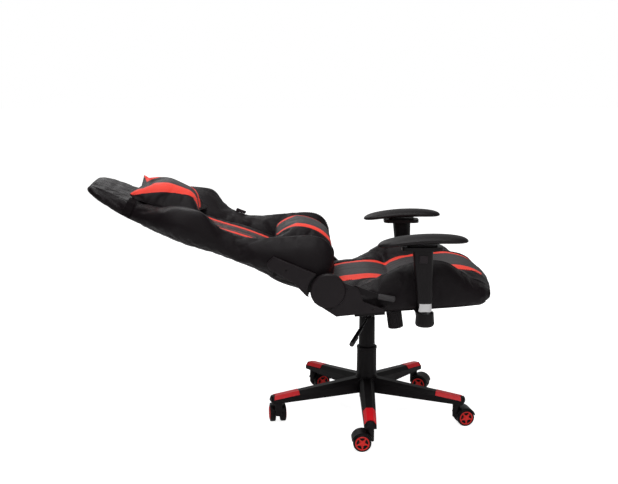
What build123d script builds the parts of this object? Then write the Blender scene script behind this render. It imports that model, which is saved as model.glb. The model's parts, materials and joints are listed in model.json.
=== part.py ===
from build123d import *
from math import atan2, cos, hypot, radians, sin, tan
import os

# A reclining gaming chair on a five-legged base with twin-wheel casters. Millimetres.
# X points to the sitter's left, Y to the rear and Z up, and the origin lies on the floor
# below the gas lift. The chair stands as when its backrest is laid back to its stop.

# Driving height: the top of the seat plate on the lift's axis
seat_base_height = 428.0

# Clearances
running_clearance = 0.05
press_clearance = 0.02
seat_gap = 0.3
moving_gap = 0.5

# Five-legged base
leg_count = 5
first_leg_angle = 178.0
stem_circle_radius = 314.0
leg_end_radius = 341.0
leg_top_at_hub = 137.0
leg_top_slope = 7.1
leg_bottom_at_hub = 87.0
leg_bottom_at_end = 75.0
leg_width_at_hub = 52.0
leg_width_at_end = 39.0
leg_crown_share = 0.5
leg_facet_drop = 13.0
leg_wall = 4.5
leg_pocket_ends = ((46.0, 112.0), (118.0, 180.0), (186.0, 232.0), (238.0, 288.0))
leg_end_chamfer = 5.0
hub_radius = 37.0
hub_top = 139.0
stem_boss_radius = 13.0
stem_boss_height = 3.0

# Red inlay caps on the legs
cap_inner_radius = 245.0
cap_outer_radius = 332.0
cap_depth = 1.6
cap_proud = 0.8
cap_facet_share = 0.86
cap_notch = 7.0

# Casters
wheel_radius = 29.0
wheel_width = 19.0
wheel_gap = 16.0
wheel_shoulder = 4.0
wheel_face_radius = 23.0
wheel_face_recess = 1.5
window_circle_radius = 14.5
window_length = 11.0
window_width = 7.5
caster_trail = 26.0
caster_headings = (90.0, -79.0, -113.0, -66.0, 7.0)
stem_radius = 5.5
stem_grip = 24.0
stem_foot = 20.0
axle_radius = 3.0
hood_radial_gap = 2.0
hood_wall = 2.5
hood_width = 50.0
hood_start_angle = 12.0
hood_end_angle = 165.0
hood_web_gap = 0.7

# Gas lift
cylinder_radius = 25.0
cylinder_foot_radius = 23.4
cylinder_bottom = 62.0
cylinder_top = 348.0
cylinder_wall = 2.5
cylinder_floor = 6.0
guide_length = 48.0
rod_radius = 5.0
rod_bottom = 56.0
piston_top = 322.0
piston_height = 9.0
piston_gap = 0.2
bearing_radius = 11.0
bearing_height = 4.0
clip_height = 5.0
tube_radius = 14.0
tube_wall = 1.5
tube_bottom = 88.0
tube_end_wall = 6.0
tube_top = seat_base_height - 30
tube_taper = 0.8
socket_depth = 30.0
pin_radius = 3.0
pin_proud = 5.0
pin_length = 24.0
lower_cover_radius = 34.0
lower_cover_top = 246.0
lower_cover_ring_height = 11.0
lower_cover_ring_proud = 1.4
upper_cover_foot_radius = 27.6
upper_cover_top_radius = 26.2
cover_wall = 2.0

# Tilt mechanism under the seat
tilt_axis_y = -64.0
tilt_axis_z = seat_base_height - 26
housing_half_width = 38.0
housing_sheet = 3.0
housing_front = -108.0
housing_rear = 36.0
housing_floor = seat_base_height - 60
housing_front_floor = seat_base_height - 49
housing_front_top = seat_base_height - 32
housing_pivot_top = seat_base_height - 13
housing_rear_top = seat_base_height - 31
socket_wall = 6.0
tilt_pin_radius = 6.0
flange_sheet = 3.0
flange_boss_radius = 16.0
knob_radius = 26.0
knob_length = 58.0
knob_tilt = 8.0
knob_y = -90.0
knob_top = housing_floor
knob_rib_count = 24
knob_rib_radius = 1.6
tension_bolt_radius = 5.0
spring_radius = 15.0
spring_wire_radius = 2.2
spring_turns = 5

# Gas lever
lever_rod_radius = 3.5
lever_grip_radius = 6.5
lever_rest_z = tube_top + pin_proud + seat_gap + lever_rod_radius
lever_route = (
    (3.0, 0.0, lever_rest_z),
    (-52.0, 12.0, lever_rest_z),
    (-68.0, 8.0, lever_rest_z - 54),
    (-120.0, 28.0, lever_rest_z - 66),
)
lever_grip_end = (-220.0, 66.0, lever_rest_z - 88)
lever_lug_width = 26.0
lever_lug_margin = 4.5
lever_bend_radius = 9.0

# Seat
seat_rake = 3.5
seat_plate_sheet = 3.0
seat_plate_half_width = 92.0
seat_plate_front = -100.0
seat_plate_rear = 100.0
plate_window_width = 128.0
plate_window_length = 64.0
plate_window_y = 8.0
frame_tube = 22.0
frame_wall = 1.5
frame_half_width = 214.0
frame_front = -320.0
frame_rear = 112.0
frame_corner = 40.0
frame_bar_x = 75.0
web_width = 38.0
web_thickness = 2.0
web_count = 6
pocket_gap = 1.0
cushion_bottom = 0.5
bolster_crest_x = 208.0
seat_panel_half_width = 146.0

# Recliner
pivot_y = 144.0
pivot_z = seat_base_height + 79
recline_rise = 26.0
plate_inner_x = 262.5
plate_sheet = 4.0
plate_gap = 0.5
recline_shaft_radius = 6.0
lever_sheet = 4.0
disc_radius = 55.5
plain_disc_radius = 44.0
disc_gap = 7.0
side_cover_inner_x = 277.5
side_cover_plate = 5.0
cover_rim = 2.5
disc_dome = 6.0
upper_cover_thickness = 10.0
side_screw_radius = 4.0
recline_lever_swing = 28.0
recline_grip_radius = 8.0

# Backrest
back_start = 12.0
back_end = 817.0
back_frame_tube_radius = 9.0
back_frame_clearance = 0.5
back_frame_wall = 1.5
back_frame_depth = -16.0
back_frame_lean = 3.15
back_frame_half_width = 226.0
back_frame_start = 40.0
back_frame_waist = 260.0
back_frame_shoulder = 208.0
back_frame_bend = 535.0
back_frame_neck = 120.0
back_frame_neck_along = 630.0
back_frame_head = 88.0
back_frame_end = 745.0
back_frame_bend_radius = 40.0
back_frame_bars = (62.0, 330.0)
back_frame_bar_half = 220.0
back_bolt_places = (85.0, 170.0)
back_bolt_radius = 7.0

# Pillows and their straps
pillow_corner = 12.0
strap_width = 26.0
strap_thickness = 1.5
strap_offset = 2.5
head_strap_along = 668.0
head_strap_end_x = 122.0
lumbar_strap_x = 70.0

# Armrests
arm_x = 300.0
arm_drop_left = 22.0
post_length = 41.0
post_width = 28.0
post_y = -155.5
post_top = seat_base_height + 172
post_wall = 2.0
sleeve_bottom = seat_base_height + 45
sleeve_top = seat_base_height + 213
sleeve_bottom_length = 47.0
sleeve_bottom_width = 35.0
sleeve_top_length = 64.0
sleeve_top_width = 42.0
sleeve_top_y = -145.0
sleeve_bottom_y = -154.5
sleeve_roof = 12.0
arm_plate_length = 126.0
arm_plate_width = 60.0
arm_plate_height = 11.0
arm_plate_y = -143.0
arm_block_length = 92.0
arm_block_width = 38.0
pad_width = 86.0
pad_thickness = 30.0
pad_corner = 34.0
pad_edge = 9.0
pad_length = 277.0
pad_rear = (-1.0, sleeve_top + 12)
pad_middle = (-160.0, sleeve_top + 31.5)
pad_front = (-290.0, sleeve_top + 26.5)
cup_top = seat_base_height + 16
cup_bottom = seat_base_height - 29
cup_radius = 30.5
cup_top_radius = 27.0
arm_bracket_sheet = 6.0
arm_bracket_width = 50.0
arm_bracket_drop = 24.0
arm_bracket_inner_x = 190.0
arm_bracket_bend_x = 263.0
arm_bracket_low_x = 282.0
button_width = 26.0
button_height = 24.0
button_proud = 3.0
button_z = sleeve_top - 27
bolt_radius = 4.0
bolt_head_radius = 7.0
bolt_head_height = 5.0

os.makedirs("parts", exist_ok=True)


def save(builder, label):
    builder.part.label = label
    export_step(builder.part, f"parts/{label}.step")


def line_between(start_x, start_value, end_x, end_value, x):
    return start_value + (end_value - start_value) * (x - start_x) / (end_x - start_x)


def mirrored(points):
    """Closes an outline given from the middle of the front to the middle of the rear."""
    return points + [(-x, y) for x, y in reversed(points) if abs(x) > 0.001]


# Legs
def leg_plane(radius):
    return Plane(origin=(radius, 0, 0), x_dir=(0, 1, 0), z_dir=(1, 0, 0))


def leg_top(radius):
    return leg_top_at_hub - (radius - hub_radius) * tan(radians(leg_top_slope))


def leg_bottom(radius):
    return line_between(hub_radius, leg_bottom_at_hub, leg_end_radius, leg_bottom_at_end, radius)


def leg_half_width(radius):
    return line_between(0, leg_width_at_hub, leg_end_radius, leg_width_at_end, radius) / 2


def leg_outline(radius):
    half = leg_half_width(radius)
    top = leg_top(radius)
    return mirrored([
        (half * leg_crown_share, top),
        (half, top - leg_facet_drop),
        (half, leg_bottom(radius)),
    ])


def pocket_outline(radius):
    half = leg_half_width(radius) - leg_wall
    roof = leg_top(radius) - leg_wall - cap_depth
    return mirrored([
        (half * leg_crown_share, roof),
        (half, roof - leg_facet_drop),
        (half, leg_bottom(radius) - 1),
    ])


def cap_edge(radius, lift):
    """Half of the roof line of a leg, moved out by lift, from crown edge to skirt."""
    half = leg_half_width(radius)
    crown = half * leg_crown_share
    run = half - crown
    slant = hypot(run, leg_facet_drop)
    crown_turn = atan2(leg_facet_drop, run)
    skirt_x = crown + run * cap_facet_share + lift * leg_facet_drop / slant
    skirt_z = leg_top(radius) - leg_facet_drop * cap_facet_share + lift * run / slant
    return (crown + lift * tan(crown_turn / 2), leg_top(radius) + lift), (skirt_x, skirt_z)


def cap_outline(radius, outer_lift):
    outer_crown, outer_skirt = cap_edge(radius, outer_lift)
    inner_crown, inner_skirt = cap_edge(radius, -cap_depth)
    right = [outer_crown, outer_skirt, inner_skirt, inner_crown]
    return right + [(-x, z) for x, z in reversed(right)]


def section(plane, points):
    with BuildSketch(plane) as outline:
        with BuildLine():
            Polyline(points, close=True)
        make_face()
    return outline.sketch.face()


cap_ends = (cap_inner_radius, cap_outer_radius)

with BuildPart() as leg:
    leg_ends = [section(leg_plane(radius), leg_outline(radius)) for radius in (0, leg_end_radius)]
    loft(leg_ends, ruled=True)
    chamfer(leg.faces().sort_by(Axis.X)[-1].edges(), leg_end_chamfer)
    for pocket_ends in leg_pocket_ends:
        pocket = [section(leg_plane(radius), pocket_outline(radius)) for radius in pocket_ends]
        loft(pocket, ruled=True, mode=Mode.SUBTRACT)
    cap_recess = [section(leg_plane(radius), cap_outline(radius, 6)) for radius in cap_ends]
    loft(cap_recess, ruled=True, mode=Mode.SUBTRACT)
    boss_bottom = leg_bottom(stem_circle_radius) - stem_boss_height
    with BuildSketch(Plane.XY.offset(boss_bottom)):
        with Locations((stem_circle_radius, 0)):
            Circle(stem_boss_radius)
    extrude(amount=stem_boss_height + leg_wall)
    with BuildSketch(Plane.XY.offset(boss_bottom)):
        with Locations((stem_circle_radius, 0)):
            Circle(stem_radius + running_clearance)
    extrude(amount=stem_grip + seat_gap, mode=Mode.SUBTRACT)

with BuildPart() as leg_cap:
    cap_sections = [section(leg_plane(radius), cap_outline(radius, cap_proud)) for radius in cap_ends]
    loft(cap_sections, ruled=True)
    with BuildSketch(Plane.XY.offset(leg_bottom_at_end)):
        with BuildLine():
            Polyline(
                (cap_outer_radius - cap_notch, 0),
                (cap_outer_radius + 1, leg_width_at_end / 2),
                (cap_outer_radius + 1, -leg_width_at_end / 2),
                close=True,
            )
        make_face()
    extrude(amount=leg_top_at_hub, mode=Mode.SUBTRACT)

with BuildPart() as base_star:
    with BuildSketch(Plane.XY.offset(leg_bottom_at_hub)):
        Circle(hub_radius)
    extrude(amount=hub_top - leg_bottom_at_hub)
    with PolarLocations(0, leg_count, first_leg_angle):
        add(leg.part)
    with BuildSketch(Plane.XZ):
        with BuildLine():
            Polyline(
                (0, cylinder_bottom),
                (cylinder_foot_radius + running_clearance, cylinder_bottom),
                (cylinder_radius + running_clearance, hub_top),
                (cylinder_radius + running_clearance, leg_top(0) + 1),
                (0, leg_top(0) + 1),
                close=True,
            )
        make_face()
    revolve(axis=Axis.Z, mode=Mode.SUBTRACT)
save(base_star, "base_star")

with BuildPart() as leg_caps:
    with PolarLocations(0, leg_count, first_leg_angle):
        add(leg_cap.part)
save(leg_caps, "leg_caps")


# Casters. Each stands in its own plane: x along the trail, y along the axle, z up.
def leg_angle(index):
    return first_leg_angle + index * 360 / leg_count


def caster_plane(index):
    heading = radians(caster_headings[index])
    angle = radians(leg_angle(index))
    return Plane(
        origin=(stem_circle_radius * cos(angle), stem_circle_radius * sin(angle), 0),
        x_dir=(cos(heading), sin(heading), 0),
        z_dir=(0, 0, 1),
    )


def wheel_plane(index, across):
    """The upright plane of a wheel, with x along the trail and y up, seen along the axle."""
    frame = caster_plane(index)
    centre = frame.from_local_coords((caster_trail, across, wheel_radius))
    return Plane(origin=centre, x_dir=frame.x_dir, z_dir=-frame.y_dir)


hood_outer_radius = wheel_radius + hood_radial_gap + hood_wall
hood_top = boss_bottom - moving_gap
web_half = wheel_gap / 2 - hood_web_gap
axle_half = wheel_gap / 2 + wheel_width - wheel_face_recess - 1.5
wheel_centre_y = (wheel_gap + wheel_width) / 2

for index in range(leg_count):
    name = f"caster_{index + 1}"
    with BuildPart() as hood:
        with BuildSketch(wheel_plane(index, 0)):
            with BuildLine():
                CenterArc(
                    (0, 0), hood_outer_radius, hood_start_angle, hood_end_angle - hood_start_angle
                )
                Line((0, 0), Vector(hood_outer_radius, 0).rotate(Axis.Z, hood_start_angle))
                Line((0, 0), Vector(hood_outer_radius, 0).rotate(Axis.Z, hood_end_angle))
            make_face()
        extrude(amount=hood_width / 2, both=True)
        with BuildSketch(wheel_plane(index, 0)):
            Circle(axle_radius + 6)
        extrude(amount=web_half, both=True)
        with BuildSketch(caster_plane(index).offset(wheel_radius)):
            Circle(stem_boss_radius)
        extrude(amount=hood_top - wheel_radius)
        for side in (-1, 1):
            with BuildSketch(wheel_plane(index, side * (web_half + hood_width / 2))):
                Circle(wheel_radius + hood_radial_gap)
            extrude(amount=hood_width / 2, both=True, mode=Mode.SUBTRACT)
        with BuildSketch(wheel_plane(index, 0)):
            Circle(axle_radius + press_clearance)
        extrude(amount=hood_width, both=True, mode=Mode.SUBTRACT)
        with BuildSketch(caster_plane(index).offset(hood_top - stem_foot)):
            Circle(stem_radius + press_clearance)
        extrude(amount=stem_foot + 1, mode=Mode.SUBTRACT)
    save(hood, f"{name}_hood")

    with BuildPart() as pins:
        with BuildSketch(caster_plane(index).offset(hood_top - stem_foot)):
            Circle(stem_radius)
        extrude(amount=stem_foot + moving_gap + stem_grip)
        chamfer(pins.edges().group_by(Axis.Z)[-1], 1)
        with BuildSketch(wheel_plane(index, 0)):
            Circle(axle_radius)
        extrude(amount=axle_half, both=True)
    save(pins, f"{name}_stem_and_axle")

    for side, letter in ((-1, "a"), (1, "b")):
        with BuildPart() as wheel:
            with BuildSketch(wheel_plane(index, side * wheel_centre_y)):
                Circle(wheel_radius)
            extrude(amount=wheel_width / 2, both=True)
            fillet(wheel.edges(), wheel_shoulder)
            outer_face = wheel_plane(index, side * (wheel_gap / 2 + wheel_width))
            inner_face = wheel_plane(index, side * wheel_gap / 2)
            with BuildSketch(outer_face):
                Circle(wheel_face_radius)
            extrude(amount=side * wheel_face_recess, mode=Mode.SUBTRACT)
            with BuildSketch(outer_face):
                with PolarLocations(window_circle_radius, leg_count, 90):
                    SlotOverall(window_length, window_width, rotation=90)
            extrude(amount=side * 3 * wheel_face_recess, mode=Mode.SUBTRACT)
            with BuildSketch(inner_face):
                Circle(wheel_radius - 2 * wheel_shoulder)
                Circle(axle_radius + 6, mode=Mode.SUBTRACT)
            extrude(amount=-side * wheel_width / 2, mode=Mode.SUBTRACT)
            with BuildSketch(inner_face):
                Circle(axle_radius + running_clearance)
            extrude(amount=-side * (axle_half - wheel_gap / 2 + seat_gap), mode=Mode.SUBTRACT)
        save(wheel, f"{name}_wheel_{letter}")


# Gas lift
def turned(points):
    """A face in the XZ plane to revolve about Z, from (radius, height) points."""
    with BuildSketch(Plane.XZ) as outline:
        with BuildLine():
            Polyline(points, close=True)
        make_face()
    return outline.sketch.face()


rod_bore = rod_radius + running_clearance
tube_bore = tube_radius + running_clearance
floor_top = cylinder_bottom + cylinder_floor
guide_bottom = cylinder_top - guide_length

with BuildPart() as gas_cylinder:
    revolve(turned([
        (rod_bore, cylinder_bottom),
        (cylinder_foot_radius, cylinder_bottom),
        (cylinder_radius, hub_top),
        (cylinder_radius, cylinder_top - 2),
        (cylinder_radius - 2, cylinder_top),
        (tube_bore, cylinder_top),
        (tube_bore, guide_bottom),
        (cylinder_foot_radius - cylinder_wall, guide_bottom - 5),
        (cylinder_foot_radius - cylinder_wall, floor_top),
        (rod_bore, floor_top),
    ]), axis=Axis.Z)
save(gas_cylinder, "gas_cylinder")

ring_bottom = lower_cover_top - lower_cover_ring_height
cover_bore = cylinder_radius + seat_gap

with BuildPart() as lift_covers:
    revolve(turned([
        (lower_cover_radius - cover_wall, hub_top),
        (lower_cover_radius, hub_top),
        (lower_cover_radius - 1, ring_bottom),
        (lower_cover_radius - 1 + lower_cover_ring_proud, ring_bottom + 2),
        (lower_cover_radius - 1 + lower_cover_ring_proud, lower_cover_top - 2),
        (lower_cover_radius - 3, lower_cover_top),
        (upper_cover_foot_radius + seat_gap, lower_cover_top),
        (upper_cover_foot_radius + seat_gap, lower_cover_top - cover_wall),
        (lower_cover_radius - 1 - cover_wall, lower_cover_top - 2 * cover_wall),
    ]), axis=Axis.Z)
    revolve(turned([
        (cover_bore, ring_bottom),
        (upper_cover_foot_radius, ring_bottom),
        (upper_cover_top_radius + 0.4, cylinder_top - 2),
        (upper_cover_top_radius - 0.4, cylinder_top + 1.5),
        (upper_cover_top_radius - 3, cylinder_top + 1.5),
        (upper_cover_top_radius - 3, cylinder_top + seat_gap),
        (cover_bore, cylinder_top + seat_gap),
    ]), axis=Axis.Z)
save(lift_covers, "lift_covers")

with BuildPart() as piston_rod:
    revolve(turned([
        (0, rod_bottom),
        (rod_radius + 3, rod_bottom),
        (rod_radius + 3, rod_bottom + clip_height),
        (rod_radius, rod_bottom + clip_height),
        (rod_radius, floor_top + seat_gap),
        (bearing_radius, floor_top + seat_gap),
        (bearing_radius, floor_top + seat_gap + bearing_height),
        (rod_radius, floor_top + seat_gap + bearing_height),
        (rod_radius, piston_top - piston_height),
        (tube_radius - tube_wall - piston_gap, piston_top - piston_height),
        (tube_radius - tube_wall - piston_gap, piston_top),
        (0, piston_top),
    ]), axis=Axis.Z)
save(piston_rod, "piston_rod")

tube_taper_start = tube_top - socket_depth
valve_top = tube_top - pin_length + pin_proud
tube_bore_top = valve_top - tube_end_wall

with BuildPart() as pressure_tube:
    revolve(turned([
        (rod_bore, tube_bottom),
        (tube_radius, tube_bottom),
        (tube_radius, tube_taper_start),
        (tube_radius - tube_taper, tube_top),
        (pin_radius + running_clearance, tube_top),
        (pin_radius + running_clearance, valve_top - tube_end_wall / 2),
        (0, valve_top - tube_end_wall / 2),
        (0, tube_bore_top - tube_end_wall),
        (tube_radius - tube_wall, tube_bore_top - tube_end_wall),
        (tube_radius - tube_wall, tube_bottom + tube_end_wall),
        (rod_bore, tube_bottom + tube_end_wall),
    ]), axis=Axis.Z)
save(pressure_tube, "pressure_tube")

with BuildPart() as release_pin:
    with BuildSketch(Plane.XY.offset(tube_top + pin_proud - pin_length + tube_end_wall)):
        Circle(pin_radius)
    extrude(amount=pin_length - tube_end_wall)
    chamfer(release_pin.edges().group_by(Axis.Z)[-1], 0.6)
save(release_pin, "release_pin")

# Tilt mechanism: a folded steel housing on the gas lift, and the seat plate hinged on it
side_plane = Plane.YZ
knob_axis_plane = Plane(
    origin=(0, knob_y, knob_top),
    x_dir=(1, 0, 0),
    z_dir=(0, sin(radians(knob_tilt)), cos(radians(knob_tilt))),
)
housing_outline = [
    (housing_front, housing_front_floor),
    (tilt_axis_y - 2, housing_front_floor),
    (tilt_axis_y + 16, housing_floor),
    (housing_rear, housing_floor),
    (housing_rear, housing_rear_top),
    (tilt_axis_y + 14, housing_pivot_top),
    (tilt_axis_y - 12, housing_pivot_top),
    (housing_front, housing_front_top),
]

lever_run = Vector(lever_route[1]) - Vector(lever_route[0])
lever_hole_share = (lever_route[0][0] + housing_half_width) / -lever_run.X
lever_hole_y = lever_route[0][1] + lever_hole_share * lever_run.Y

with BuildPart() as mechanism_housing:
    with BuildSketch(side_plane):
        with BuildLine():
            Polyline(housing_outline, close=True)
        make_face()
    extrude(amount=housing_half_width, both=True)
    with BuildSketch(side_plane):
        with BuildLine():
            Polyline([(y, z + housing_sheet) for y, z in housing_outline[:4]])
            Polyline(
                (housing_rear, housing_floor + housing_sheet),
                (housing_rear, housing_pivot_top + 5),
                (housing_front, housing_pivot_top + 5),
                (housing_front, housing_front_floor + housing_sheet),
            )
        make_face()
    extrude(amount=housing_half_width - housing_sheet, both=True, mode=Mode.SUBTRACT)
    with BuildSketch(Plane.XY.offset(tube_taper_start)):
        Circle(tube_radius + socket_wall)
    extrude(amount=socket_depth - seat_gap)
    revolve(turned([
        (0, tube_taper_start - 5),
        (tube_radius + press_clearance, tube_taper_start - 5),
        (tube_radius + press_clearance, tube_taper_start),
        (tube_radius - tube_taper + press_clearance, tube_top),
        (0, tube_top),
    ]), axis=Axis.Z, mode=Mode.SUBTRACT)
    with BuildSketch(side_plane):
        with Locations((tilt_axis_y, tilt_axis_z)):
            Circle(tilt_pin_radius + running_clearance)
    extrude(amount=housing_half_width + 1, both=True, mode=Mode.SUBTRACT)
    with BuildSketch(knob_axis_plane):
        SlotOverall(4 * tension_bolt_radius + 8, 2 * tension_bolt_radius + 4, rotation=90)
    extrude(amount=knob_length / 2, mode=Mode.SUBTRACT)
    lug_top = lever_rest_z + lever_rod_radius + lever_lug_margin
    with BuildSketch(side_plane.offset(-housing_half_width)):
        with Locations((lever_hole_y, housing_floor + 10)):
            Rectangle(lever_lug_width, lug_top - housing_floor - 10, align=(Align.CENTER, Align.MIN))
    extrude(amount=housing_sheet)
    with BuildSketch(Plane(origin=lever_route[0], z_dir=lever_run)):
        Circle(lever_rod_radius + seat_gap)
    extrude(amount=lever_run.length, mode=Mode.SUBTRACT)
save(mechanism_housing, "mechanism_housing")

# Seat plane: x to the left, y to the rear and down by the rake, height above the seat plate
rake = radians(seat_rake)
seat_plane = Plane(
    origin=(0, 0, seat_base_height), x_dir=(1, 0, 0), z_dir=(0, sin(rake), cos(rake))
)


def seat_station(y):
    """The upright section plane of the seat at y, with x to the left and y up."""
    origin = seat_plane.from_local_coords((0, y, 0))
    return Plane(origin=origin, x_dir=(1, 0, 0), z_dir=-seat_plane.y_dir)


side_tube_x = frame_half_width - frame_tube / 2
plate_bolts = [(x, y) for x in (-frame_bar_x, frame_bar_x) for y in (-70, 80)]
arm_bolts = [(x, y) for x in (-side_tube_x, side_tube_x) for y in (post_y - 14, post_y + 14)]
recliner_bolts = [(x, y) for x in (-side_tube_x, side_tube_x) for y in (-20, 45)]
flange_inner = housing_half_width + moving_gap
seat_plate_bottom = seat_plane.offset(-seat_plate_sheet)

with BuildPart() as seat_plate:
    with BuildSketch(seat_plate_bottom):
        with Locations((0, (seat_plate_front + seat_plate_rear) / 2)):
            RectangleRounded(
                2 * seat_plate_half_width, seat_plate_rear - seat_plate_front, 12
            )
    extrude(amount=seat_plate_sheet)
    for side in (-1, 1):
        with BuildSketch(side_plane.offset(side * (flange_inner + flange_sheet / 2))):
            with BuildLine():
                Polyline(
                    (tilt_axis_y - flange_boss_radius, tilt_axis_z),
                    (tilt_axis_y + flange_boss_radius, tilt_axis_z),
                    (tilt_axis_y + 2 * flange_boss_radius, seat_base_height - seat_plate_sheet / 2),
                    (tilt_axis_y - 2 * flange_boss_radius, seat_base_height + seat_plate_sheet),
                    close=True,
                )
            make_face()
            with Locations((tilt_axis_y, tilt_axis_z)):
                Circle(flange_boss_radius)
        extrude(amount=flange_sheet / 2, both=True)
    split(bisect_by=seat_plane, keep=Keep.BOTTOM)
    with BuildSketch(side_plane):
        with Locations((tilt_axis_y, tilt_axis_z)):
            Circle(tilt_pin_radius + press_clearance)
    extrude(amount=flange_inner + 2 * flange_sheet, both=True, mode=Mode.SUBTRACT)
    with BuildSketch(seat_plate_bottom):
        with Locations(*plate_bolts):
            Circle(bolt_radius + press_clearance)
    extrude(amount=seat_plate_sheet, mode=Mode.SUBTRACT)
    with BuildSketch(knob_axis_plane):
        Circle(tension_bolt_radius + running_clearance)
    extrude(amount=2 * knob_length, mode=Mode.SUBTRACT)
    with BuildSketch(seat_plate_bottom):
        with Locations((0, plate_window_y)):
            RectangleRounded(plate_window_width, plate_window_length, 12)
    extrude(amount=seat_plate_sheet, mode=Mode.SUBTRACT)
save(seat_plate, "seat_plate")

with BuildPart() as tilt_pin:
    with BuildSketch(side_plane):
        with Locations((tilt_axis_y, tilt_axis_z)):
            Circle(tilt_pin_radius)
    extrude(amount=flange_inner + flange_sheet + 3, both=True)
    chamfer(tilt_pin.edges(), 1)
save(tilt_pin, "tilt_pin")

bolt_rise = (seat_base_height - knob_top) + 8
knob_cavity_radius = spring_radius + spring_wire_radius + 2

with BuildPart() as tension_knob:
    with BuildSketch(knob_axis_plane.offset(-knob_length)):
        Circle(knob_radius - knob_rib_radius)
        with PolarLocations(knob_radius - knob_rib_radius, knob_rib_count):
            Circle(knob_rib_radius)
    extrude(amount=knob_length)
    chamfer(tension_knob.edges().group_by(Axis.Z)[0], 0.8)
    with BuildSketch(knob_axis_plane):
        Circle(knob_cavity_radius)
    extrude(amount=-(knob_length - 8), mode=Mode.SUBTRACT)
    with BuildSketch(knob_axis_plane.offset(-knob_length + 4)):
        Circle(tension_bolt_radius)
    extrude(amount=knob_length - 4 + bolt_rise)
    split(bisect_by=seat_plane.offset(-seat_gap), keep=Keep.BOTTOM)
save(tension_knob, "tension_knob")

spring_bottom = -(knob_length - 8) + seat_gap + spring_wire_radius
spring_top = housing_front_floor - knob_top - 2 * spring_wire_radius

with BuildPart() as tension_spring:
    with BuildLine() as coil:
        Helix(
            pitch=(spring_top - spring_bottom) / spring_turns,
            height=spring_top - spring_bottom,
            radius=spring_radius,
            center=knob_axis_plane.offset(spring_bottom).origin,
            direction=knob_axis_plane.z_dir,
        )
    with BuildSketch(Plane(origin=coil.line @ 0, z_dir=coil.line % 0)):
        Circle(spring_wire_radius)
    sweep()
save(tension_spring, "tension_spring")

# Gas lever: its flat inner end lies on the release pin
with BuildPart() as gas_lever:
    with BuildLine() as rod_path:
        FilletPolyline(*lever_route, radius=lever_bend_radius)
    with BuildSketch(Plane(origin=rod_path.line @ 0, z_dir=rod_path.line % 0)):
        Circle(lever_rod_radius)
    sweep()
    grip_start = Vector(lever_route[-1])
    grip_axis = Vector(lever_grip_end) - grip_start
    with BuildSketch(Plane(origin=grip_start, z_dir=grip_axis)):
        Circle(lever_grip_radius)
    extrude(amount=grip_axis.length)
    fillet(gas_lever.faces().sort_by(Axis.X)[0].edges(), 2)
save(gas_lever, "gas_lever")

# Seat frame: a tube ring with two bars over the mechanism, and flat springs across it
frame_mid_y = (frame_front + frame_rear) / 2
frame_length = frame_rear - frame_front
bolt_holes = plate_bolts + arm_bolts + recliner_bolts

with BuildPart() as seat_frame:
    with BuildSketch(seat_plane):
        with Locations((0, frame_mid_y)):
            RectangleRounded(2 * frame_half_width, frame_length, frame_corner)
            RectangleRounded(
                2 * (frame_half_width - frame_tube),
                frame_length - 2 * frame_tube,
                frame_corner - frame_tube,
                mode=Mode.SUBTRACT,
            )
        with Locations((-frame_bar_x, frame_mid_y), (frame_bar_x, frame_mid_y)):
            Rectangle(frame_tube, frame_length - frame_tube)
    extrude(amount=frame_tube)
    with BuildSketch(seat_plane.offset(frame_wall)):
        with Locations((0, frame_mid_y)):
            RectangleRounded(
                2 * (frame_half_width - frame_wall),
                frame_length - 2 * frame_wall,
                frame_corner - frame_wall,
            )
            RectangleRounded(
                2 * (frame_half_width - frame_tube + frame_wall),
                frame_length - 2 * (frame_tube - frame_wall),
                frame_corner - frame_tube + frame_wall,
                mode=Mode.SUBTRACT,
            )
        with Locations((-frame_bar_x, frame_mid_y), (frame_bar_x, frame_mid_y)):
            Rectangle(frame_tube - 2 * frame_wall, frame_length - 2 * frame_tube)
    extrude(amount=frame_tube - 2 * frame_wall, mode=Mode.SUBTRACT)
    with BuildSketch(seat_plane):
        with Locations(*bolt_holes):
            Circle(bolt_radius + press_clearance)
    extrude(amount=frame_wall, mode=Mode.SUBTRACT)
save(seat_frame, "seat_frame")

web_pitch = (frame_length - 2 * frame_corner) / (web_count - 1)

with BuildPart() as seat_webbing:
    with BuildSketch(seat_plane.offset(frame_tube)):
        with Locations((0, frame_mid_y)):
            with GridLocations(0, web_pitch, 1, web_count):
                Rectangle(2 * frame_half_width - frame_tube, web_width)
    extrude(amount=web_thickness)
save(seat_webbing, "seat_webbing")

# Seat cushion: stations from rear to front, each with its half width, the height of the
# middle, the height of the side bolsters and the height of the lower edge
seat_stations = (
    (126.0, 222.0, 73.0, 66.0, 6.0),
    (100.0, 240.0, 79.0, 73.0, 0.0),
    (40.0, 252.0, 83.0, 78.0, 0.0),
    (-12.0, 257.0, 85.0, 96.0, 0.0),
    (-55.0, 259.0, 80.0, 119.0, 0.0),
    (-75.0, 259.0, 71.0, 129.0, 0.0),
    (-98.0, 260.0, 80.0, 138.0, 0.0),
    (-150.0, 260.0, 90.0, 148.0, 0.0),
    (-200.0, 260.0, 94.0, 149.0, 0.0),
    (-245.0, 259.0, 95.0, 137.0, 0.0),
    (-285.0, 256.0, 95.0, 109.0, 0.0),
    (-325.0, 250.0, 92.0, 82.0, 0.0),
    (-355.0, 241.0, 84.0, 68.0, 0.0),
    (-376.0, 226.0, 70.0, 53.0, 6.0),
    (-390.0, 196.0, 50.0, 42.0, 18.0),
)


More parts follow.
